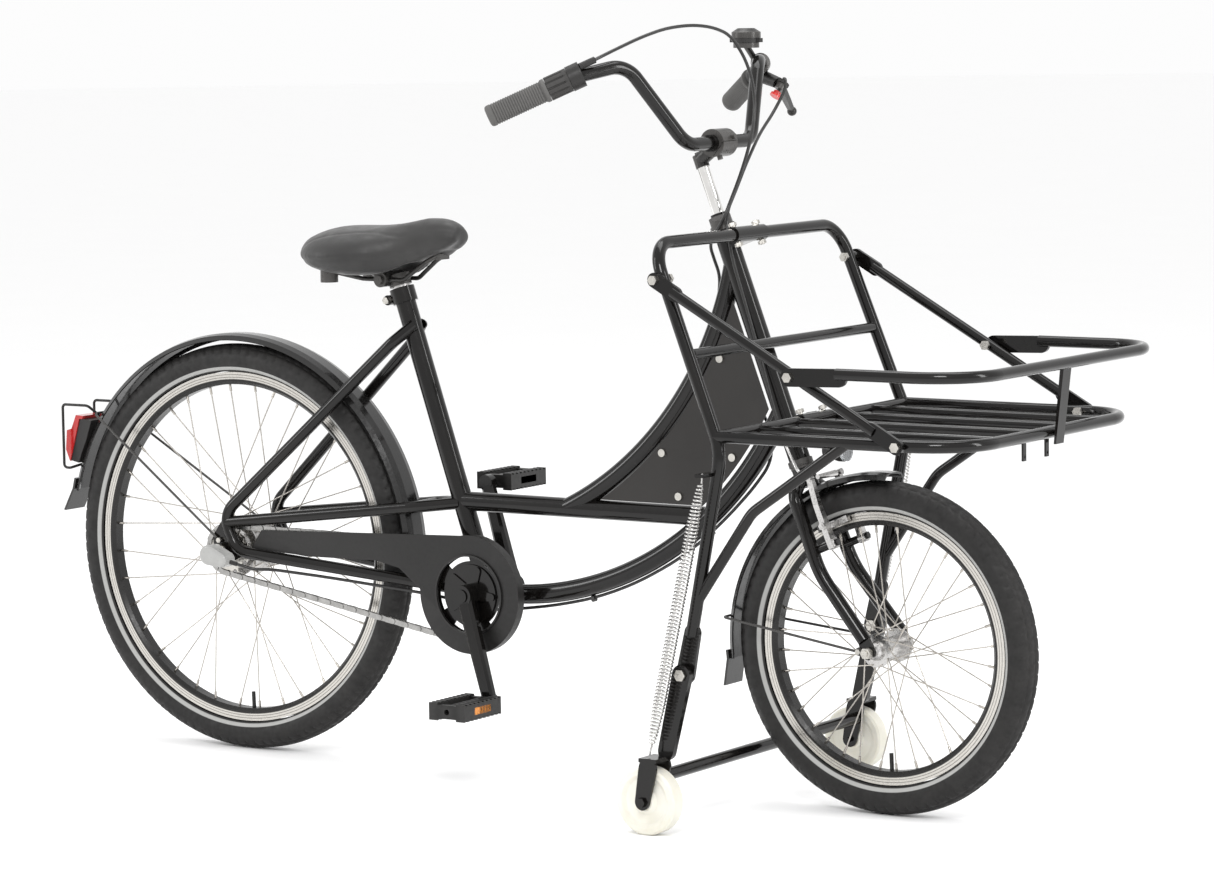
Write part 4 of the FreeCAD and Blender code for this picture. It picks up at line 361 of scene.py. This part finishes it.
def islands(obj):
    """The separate solids of a mesh: a list of (lowest corner, highest corner, faces)."""
    mesh = obj.data
    owner = {}
    bm = bmesh.new()
    bm.from_mesh(mesh)
    bmesh.ops.remove_doubles(bm, verts=bm.verts, dist=1e-7)
    bm.faces.ensure_lookup_table()
    found = []
    for face in bm.faces:
        if face.index in owner:
            continue
        stack, members = [face], []
        owner[face.index] = len(found)
        while stack:
            item = stack.pop()
            members.append(item.index)
            for edge in item.edges:
                for other in edge.link_faces:
                    if other.index not in owner:
                        owner[other.index] = len(found)
                        stack.append(other)
        corners = [v.co for i in members for v in bm.faces[i].verts]
        low = Vector(min(c[k] for c in corners) for k in range(3))
        high = Vector(max(c[k] for c in corners) for k in range(3))
        found.append((low, high, members))
    same_count = len(bm.faces) == len(mesh.polygons)
    bm.free()
    return found if same_count else []


def paint_islands(name, choose, materials):
    """Gives each solid of a node the material whose index choose(low, high) returns."""
    mesh = NODES[name].data
    mesh.materials.clear()
    for material in materials:
        mesh.materials.append(material)
    for low, high, faces in islands(NODES[name]):
        index = choose(low, high)
        for face in faces:
            mesh.polygons[face].material_index = index


STEM_HEAD_DEPTH = 0.066


def paint_stem():
    """A chrome quill below a black head with bright bolts."""
    paint_islands("stem", lambda low, high: 0 if max(high - low) > 0.03 else 2,
                  [CHROME, BLACK_METAL, BOLTS])
    mesh = NODES["stem"].data
    head_foot = max(v.co.z for v in mesh.vertices) - STEM_HEAD_DEPTH
    for face in mesh.polygons:
        if face.material_index == 0 and face.center.z > head_foot:
            face.material_index = 1


# ------------------------------------------------------------------ piece helpers
def add_piece(name, bm, body, material, degrees=35):
    mesh = bpy.data.meshes.new(name)
    bmesh.ops.recalc_face_normals(bm, faces=bm.faces)
    bm.to_mesh(mesh)
    bm.free()
    mesh.materials.append(material)
    obj = bpy.data.objects.new(name, mesh)
    bpy.context.scene.collection.objects.link(obj)
    smooth(obj, degrees)
    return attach(obj, body) if body else obj


def grid_faces(bm, rows, close_rows=True, close_columns=True):
    """Faces between rows of points, closed round one or both ways."""
    verts = [[bm.verts.new(point) for point in row] for row in rows]
    count_rows = len(verts) if close_rows else len(verts) - 1
    width = len(verts[0])
    count_columns = width if close_columns else width - 1
    for i in range(count_rows):
        for j in range(count_columns):
            a, b = verts[i], verts[(i + 1) % len(verts)]
            bm.faces.new((a[j], b[j], b[(j + 1) % width], a[(j + 1) % width]))
    return verts


def swept(bm, points, radius, sides=10, closed=False, caps=True):
    """A round bar along a line of points; radius is a number or one for each point."""
    rows = []
    normal = None
    for i, point in enumerate(points):
        before = points[i - 1] if i or closed else points[i]
        after = points[(i + 1) % len(points)] if i < len(points) - 1 or closed else points[i]
        along = (after - before).normalized()
        if normal is None:
            normal = along.orthogonal().normalized()
        normal = (normal - along * normal.dot(along)).normalized()
        side = along.cross(normal)
        r = radius[i] if isinstance(radius, (list, tuple)) else radius
        row = []
        for k in range(sides):
            angle = 2 * math.pi * k / sides
            row.append(point + normal * (r * math.cos(angle)) + side * (r * math.sin(angle)))
        rows.append(row)
    verts = grid_faces(bm, rows, close_rows=closed)
    if caps and not closed:
        bm.faces.new(verts[0])
        bm.faces.new(list(reversed(verts[-1])))


def bead(bm, centre, axis, radius, thick, steps=56, waves=18):
    """A weld bead: a ripple of overlapping puddles round a tube."""
    axis = axis.normalized()
    u = axis.orthogonal().normalized()
    w = axis.cross(u)
    points, radii = [], []
    for k in range(steps):
        angle = 2 * math.pi * k / steps
        points.append(centre + u * (radius * math.cos(angle)) + w * (radius * math.sin(angle)))
        radii.append(thick * (1 + 0.22 * math.sin(waves * angle)))
    swept(bm, points, radii, 8, closed=True)


# ------------------------------------------------------------------ tyres
BEAD_DEGREES = (-52, 232)
TREAD_DEGREES = (25, 155)
OUTER_STEPS, INNER_STEPS = 40, 12
TYRE_SKIN = 0.0035
GROOVE_DEPTH = 0.0017
STEPS_PER_BLOCK = 6


def tyre_profile(section):
    """(y, height above the section's middle, on the tread or not) round the casing's section."""
    first, last = BEAD_DEGREES
    points = []
    for k in range(OUTER_STEPS + 1):
        degrees = first + (last - first) * k / OUTER_STEPS
        angle = math.radians(degrees)
        on_tread = TREAD_DEGREES[0] <= degrees <= TREAD_DEGREES[1]
        r = section * (0.985 if on_tread else 1.0)
        points.append((r * math.cos(angle), r * math.sin(angle), on_tread))
    inner = section - TYRE_SKIN
    for k in range(INNER_STEPS + 1):
        angle = math.radians(last - (last - first) * k / INNER_STEPS)
        points.append((inner * math.cos(angle), inner * math.sin(angle), False))
    return points


def in_groove(y, section, turn):
    """Whether a point of the tread lies in a slanted groove or in one of the round ones."""
    across = abs(y) / section
    slanted = (turn + across * 0.9) % 1.0 < 0.2 and across > 0.16
    return slanted or 0.1 < across < 0.17 or 0.52 < across < 0.6


def tyre(name, node, centre, body, blocks, material):
    """A casing with a moulded tread of slanted blocks cut by fine grooves."""
    low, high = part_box(node)
    outer = (high.z - low.z) / 2
    section = (high.y - low.y) / 2
    middle = outer - section
    profile = tyre_profile(section)
    steps = blocks * STEPS_PER_BLOCK
    rows = []
    for i in range(steps):
        angle = 2 * math.pi * i / steps
        row = []
        for y, rise, on_tread in profile:
            cut = on_tread and in_groove(y, section, i / STEPS_PER_BLOCK)
            scale = 1 - (GROOVE_DEPTH / section if cut else 0.0)
            r = middle + rise * scale
            row.append(centre + Vector((r * math.cos(angle), y * scale, r * math.sin(angle))))
        rows.append(row)
    bm = bmesh.new()
    grid_faces(bm, rows)
    piece = add_piece(name, bm, body, material, 40)
    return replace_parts(piece, node)


# ------------------------------------------------------------------ stand springs
SPRING_TURNS, STEPS_PER_TURN = 74, 12
SPRING_R, SPRING_WIRE_R = 0.0086, 0.00135
SPRING_HOOK = 0.016


def stand_springs():
    """Close-wound coils with a hook at each end, one beside each leg."""
    low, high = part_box("stand_springs")
    for side, name in ((-1, "spring_right"), (1, "spring_left")):
        y = side * (high.y - 0.010)
        top = Vector((high.x - 0.0015, y, high.z - 0.0005))
        foot = Vector((low.x + 0.0015, y, low.z + 0.0005))
        along = (foot - top).normalized()
        length = (foot - top).length
        across = Vector((0, 1, 0))
        third = along.cross(across)
        steps = SPRING_TURNS * STEPS_PER_TURN
        points = [top, top + along * 0.006]
        for k in range(steps + 1):
            t = k / steps
            grow = min(1.0, 6 * t, 6 * (1 - t)) ** 0.5 if 0 < t < 1 else 0.0
            r = SPRING_R * (0.25 + 0.75 * grow)
            angle = 2 * math.pi * k / STEPS_PER_TURN
            centre = top + along * (SPRING_HOOK + (length - 2 * SPRING_HOOK) * t)
            points.append(centre + across * (r * math.cos(angle)) + third * (r * math.sin(angle)))
        points += [foot - along * 0.006, foot]
        bm = bmesh.new()
        swept(bm, points, SPRING_WIRE_R, 6)
        mesh_piece = add_piece(name, bm, None, SPRING_STEEL, 60)
        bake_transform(mesh_piece)
        if side < 0:
            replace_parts(mesh_piece, "stand_springs")


# ------------------------------------------------------------------ saddle
PAD_WIDTH = 0.975
CROWN_DEPTH, CROWN_DROP = 0.03, 0.0015
PAD_VOXEL = 0.0045
MOST_SWELL = 0.004


def saddle():
    """Padded saddle: the shape is taken from the solid, swelled as stuffed foam, then seamed."""
    source = NODES["saddle_cover"]
    piece = bpy.data.objects.new("saddle_pad", source.data.copy())
    bpy.context.scene.collection.objects.link(piece)
    low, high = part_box("saddle_cover")
    for vertex in piece.data.vertices:
        vertex.co.y *= PAD_WIDTH
        if vertex.co.z > high.z - CROWN_DEPTH:
            vertex.co.z -= CROWN_DROP
    remesh = piece.modifiers.new("remesh", "REMESH")
    remesh.mode = "VOXEL"
    remesh.voxel_size = PAD_VOXEL
    apply_modifier(piece, "remesh")
    rest = [v.co.copy() for v in piece.data.vertices]
    swell(piece)
    cap_motion(piece, rest, MOST_SWELL)
    relax = piece.modifiers.new("relax", "SMOOTH")
    relax.factor = 0.5
    relax.iterations = 8
    apply_modifier(piece, "relax")
    keep_inside(piece, low, high)
    sew(piece, low, high)
    fine = piece.modifiers.new("fine", "SUBSURF")
    fine.levels = 1
    fine.render_levels = 1
    apply_modifier(piece, "fine")
    piece.data.materials.clear()
    piece.data.materials.append(VINYL)
    smooth(piece, 50)
    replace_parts(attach(piece, "saddle"), "saddle_cover")


def apply_modifier(obj, name):
    bpy.context.view_layer.objects.active = obj
    with bpy.context.temp_override(object=obj, active_object=obj):
        bpy.ops.object.modifier_apply(modifier=name)


def swell(obj):
    """Blows the skin out a little with cloth pressure."""
    cloth = obj.modifiers.new("cloth", "CLOTH")
    cloth.settings.use_pressure = True
    cloth.settings.uniform_pressure_force = 4
    cloth.settings.effector_weights.gravity = 0
    cloth.settings.quality = 4
    for step in range(1, 15):
        bpy.context.scene.frame_set(step)
    apply_modifier(obj, "cloth")
    bpy.context.scene.frame_set(1)


def cap_motion(obj, rest, most):
    for vertex, start in zip(obj.data.vertices, rest):
        move = vertex.co - start
        if move.length > most:
            vertex.co = start + move.normalized() * most


def keep_inside(obj, low, high):
    for vertex in obj.data.vertices:
        for axis in range(3):
            vertex.co[axis] = min(max(vertex.co[axis], low[axis]), high[axis])


def sew(obj, low, high):
    """Pulls the skin in along the seam below the crown and along the line round the top panel."""
    length = high.x - low.x
    for vertex in obj.data.vertices:
        t = (vertex.co.x - low.x) / length
        seam_height = low.z + 0.028 + 0.018 * t
        if vertex.normal.z < 0.75:
            near = math.exp(-((vertex.co.z - seam_height) / 0.0022) ** 2)
            vertex.co -= vertex.normal * (0.0016 * near)
        half = 0.074 * (1 - t) ** 0.8 + 0.012
        if vertex.normal.z > 0.5:
            near = math.exp(-((abs(vertex.co.y) - half) / 0.0024) ** 2)
            vertex.co.z -= 0.0014 * near


# ------------------------------------------------------------------ grips, pedals
GRIP_END = 0.092
GRIP_SIDES = 40
RIB_START, RIB_END, RIB_PITCH = 0.006, 0.082, 0.0038


def grip_line(side):
    """The grip's axis: its outer end, and the direction towards the middle of the bar."""
    joint = JOINTS["gear_grip_turn"]
    axis = Vector(joint["axis"])
    place = Vector(joint["pos_m"])
    outward = axis if axis.y < 0 else -axis
    end = place + outward * GRIP_END
    inward = -outward
    if side > 0:
        end.y, inward.y = -end.y, -inward.y
    return end, inward


def grips():
    """Rubber sleeves with fine ribs, a soft inner collar and a domed end."""
    pieces = []
    for side, name in ((-1, "grip_right"), (1, "grip_left")):
        end, inward = grip_line(side)
        u = inward.orthogonal().normalized()
        w = inward.cross(u)
        profile = [(-0.0039, 0.004), (-0.0036, 0.011), (-0.0024, 0.0148), (0.0004, 0.0163),
                   (0.004, 0.0165)]
        s = RIB_START
        while s < RIB_END:
            profile += [(s, 0.0163), (s + 0.0006, 0.0154), (s + 0.0016, 0.0154), (s + 0.0022, 0.0163)]
            s += RIB_PITCH
        profile += [(0.0850, 0.0163), (0.0866, 0.0178), (0.0905, 0.018), (0.0918, 0.0174), (0.092, 0.0118)]
        rows = []
        for k in range(GRIP_SIDES):
            angle = 2 * math.pi * k / GRIP_SIDES
            out = u * math.cos(angle) + w * math.sin(angle)
            palm = 1 - 0.035 * max(0.0, out.z) ** 2
            rows.append([end + inward * s + out * (r * palm) for s, r in profile])
        bm = bmesh.new()
        verts = grid_faces(bm, rows, True, False)
        bm.faces.new([row[0] for row in verts])
        bm.faces.new([row[-1] for row in reversed(verts)])
        piece = add_piece(name, bm, "bars", GREY_RUBBER)
        pieces.append(piece)
    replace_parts(pieces[0], "grips")


def pedal_reflectors():
    """Amber reflectors let into the front and rear faces of both pedals."""
    for node, body in (("pedal_right", "right_pedal"), ("pedal_left", "left_pedal")):
        low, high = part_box(node)
        middle = (low + high) / 2
        bm = bmesh.new()
        for front in (-1, 1):
            face_x = middle.x + front * ((high.x - low.x) / 2 - 0.0002)
            size = Vector((0.0036, 0.044, 0.0125))
            matrix = Matrix.Translation((face_x - front * 0.0016, middle.y, middle.z))
            matrix = matrix @ Matrix.Diagonal((*size, 1))
            made = bmesh.ops.create_cube(bm, size=1, matrix=matrix)
            edges = [e for e in bm.edges if all(v in made["verts"] for v in e.verts)]
            bmesh.ops.bevel(bm, geom=edges, offset=0.0008, segments=2, affect="EDGES")
        add_piece(node + "_reflectors", bm, body, AMBER)


# ------------------------------------------------------------------ seat post sleeve
POST_SLEEVE_R = 0.0152


def post_sleeve():
    """The saddle clamp's black sleeve on the post, with a bright strip of post left below it."""
    along = Vector(JOINTS["saddle_height"]["axis"]).normalized()
    start_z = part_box("seat_clamp")[1].z + 0.004
    end_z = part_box("saddle_rails")[0].z + 0.006
    start = BB + along * ((start_z - BB.z) / along.z)
    end = BB + along * ((end_z - BB.z) / along.z)
    low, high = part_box("seat_post")
    across = (high.y - low.y) / 2
    bm = bmesh.new()
    points = [start.lerp(end, t) for t in (0, 0.02, 0.5, 0.98, 1)]
    outer = min(across, POST_SLEEVE_R)
    swept(bm, points, [outer - 0.0008, outer, outer, outer - 0.0004, outer - 0.0012], 40)
    add_piece("post_sleeve", bm, "saddle", BLACK_METAL)


# ------------------------------------------------------------------ weld beads
def solids_of(name, wanted):
    """The boxes of a node's separate solids that wanted(size) picks."""
    return [(low, high) for low, high, _ in islands(NODES[name]) if wanted(high - low)]


def carrier_welds():
    """Beads where the platform's slats and rear bar and the hoop's cross bar meet other tubes."""
    bm = bmesh.new()
    for low, high in solids_of("cargo_platform", lambda size: size.x > 0.3 and size.y < 0.03):
        middle = (low + high) / 2
        radius = (high.y - low.y) / 2
        for x in (low.x + 0.0015, high.x - 0.0015):
            bead(bm, Vector((x, middle.y, middle.z)), Vector((1, 0, 0)), radius, 0.0012, 40, 11)
    cross_bars = solids_of("carrier_hoop", lambda size: size.y > 0.4 and size.z < 0.03)
    cross_bars += solids_of("cargo_platform", lambda size: size.y > 0.4 and size.x < 0.03)
    for low, high in cross_bars:
        middle = (low + high) / 2
        radius = (high.z - low.z) / 2
        for y in (low.y + 0.002, high.y - 0.002):
            bead(bm, Vector((middle.x, y, middle.z)), Vector((0, 1, 0)), radius, 0.0013, 44, 13)
    add_piece("carrier_welds", bm, "frame", PAINT, 60)


# ------------------------------------------------------------------ stage, light, camera
FLOOR_RADIUS = 45.0


def stage():
    """A flat round floor, wide enough to meet the pale surroundings from every side."""
    bm = bmesh.new()
    bmesh.ops.create_circle(bm, cap_ends=True, radius=FLOOR_RADIUS, segments=96)
    mesh = bpy.data.meshes.new("floor")
    bm.to_mesh(mesh)
    bm.free()
    m = Mat("pale_floor", (0.98, 0.98, 0.98), 1.0)
    m.colour(m.ramp(m.noise(3, 3), (0.977, 0.977, 0.977), (0.983, 0.983, 0.983)))
    mesh.materials.append(m.material)
    floor = bpy.data.objects.new("floor", mesh)
    bpy.context.scene.collection.objects.link(floor)


def area_light(name, place, target, size, power):
    data = bpy.data.lights.new(name, "AREA")
    data.shape = "RECTANGLE"
    data.size, data.size_y = size
    data.energy = power
    light = bpy.data.objects.new(name, data)
    light.location = place
    light.rotation_euler = (Vector(target) - Vector(place)).to_track_quat("-Z", "Y").to_euler()
    bpy.context.scene.collection.objects.link(light)


EXPOSURE = -0.35


def lights():
    world = bpy.data.worlds.new("studio")
    bpy.context.scene.world = world
    world.use_nodes = True
    world.node_tree.nodes["Background"].inputs["Color"].default_value = (1.0, 1.0, 1.0, 1)
    world.node_tree.nodes["Background"].inputs["Strength"].default_value = 1.25
    area_light("key", (2.4, -3.6, 3.6), (0, 0, 0.5), (1.4, 1.4), 120)
    area_light("left", (-3.4, -2.6, 2.2), (0, 0, 0.5), (0.8, 2.6), 60)
    area_light("right", (4.2, 0.4, 1.8), (0.4, 0, 0.6), (0.6, 2.6), 60)
    area_light("top", (0, 0.6, 4.2), (0, 0, 0.4), (3.5, 1.6), 80)
    view = bpy.context.scene.view_settings
    view.view_transform = "Standard"
    view.exposure = EXPOSURE


CAMERA_AZIMUTH, CAMERA_ELEVATION, CAMERA_ROLL = 33.131, 6.029, -0.820
CAMERA_PLACE = (3.8135, -5.5914, 1.2439)
CAMERA_LENS = 130.546
CAMERA_SHIFT = (-0.014498, -0.002883)


def camera():
    data = bpy.data.cameras.new("camera")
    data.sensor_fit = "HORIZONTAL"
    data.sensor_width = 36.0
    data.lens = CAMERA_LENS
    data.shift_x, data.shift_y = CAMERA_SHIFT
    data.clip_end = 60
    obj = bpy.data.objects.new("camera", data)
    bpy.context.scene.collection.objects.link(obj)
    azimuth, elevation = math.radians(CAMERA_AZIMUTH), math.radians(CAMERA_ELEVATION)
    roll = math.radians(CAMERA_ROLL)
    back = Vector((math.sin(azimuth) * math.cos(elevation), -math.cos(azimuth) * math.cos(elevation),
                   math.sin(elevation)))
    right = (-back).cross(UP).normalized()
    up = right.cross(-back)
    right, up = (right * math.cos(roll) + up * math.sin(roll), up * math.cos(roll) - right * math.sin(roll))
    matrix = Matrix((right, up, back)).transposed().to_4x4()
    matrix.translation = Vector(CAMERA_PLACE)
    obj.matrix_world = matrix
    bpy.context.scene.camera = obj


def finish_nodes():
    for material, names in FINISH.items():
        for name in names:
            paint_node(name, material)
    for node, centre in (("front_rim", FRONT_AXLE), ("rear_rim", REAR_AXLE)):
        paint_node(node, rim_metal(node + "_metal", centre, half_height(node)))
    paint_stem()
    paint_islands("headlamp", lambda low, high: 1 if (
        high.x - low.x < 0.008 and high.z - low.z > 0.02) else 0, [MATT_PLASTIC, CLEAR])
    paint_islands("rear_lamp", lambda low, high: 1 if (
        0.056 < high.y - low.y < 0.062) else 0, [MATT_PLASTIC, RED_LENS])
    box_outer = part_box("shifter_box")[0].y
    paint_islands("shifter_box", lambda low, high: 1 if low.y < box_outer + 0.0005 else 0,
                  [MATT_PLASTIC, SILVER_PLASTIC])
    clamp_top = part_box("seat_clamp")[1].z
    paint_islands("seat_clamp", lambda low, high: 0 if high.z > clamp_top - 0.001 else 1, [PAINT, BOLTS])
    paint_islands("seat_post", lambda low, high: 0 if high.z - low.z > 0.1 else 1,
                  [ALUMINIUM, BLACK_METAL])
    paint_islands("frame_panel", lambda low, high: 0 if high.x - low.x > 0.1 else 1, [PANEL, BOLTS])


def main():
    finish_nodes()
    for end, centre, blocks in (("front", FRONT_AXLE, 84), ("rear", REAR_AXLE, 112)):
        rubber = tyre_rubber(end + "_rubber", centre, half_height(end + "_rim"), half_height(end + "_tyre"))
        tyre(end + "_tyre_tread", end + "_tyre", centre, end + "_wheel", blocks, rubber)
    stand_springs()
    saddle()
    grips()
    pedal_reflectors()
    post_sleeve()
    carrier_welds()
    stage()
    lights()
    camera()


main()
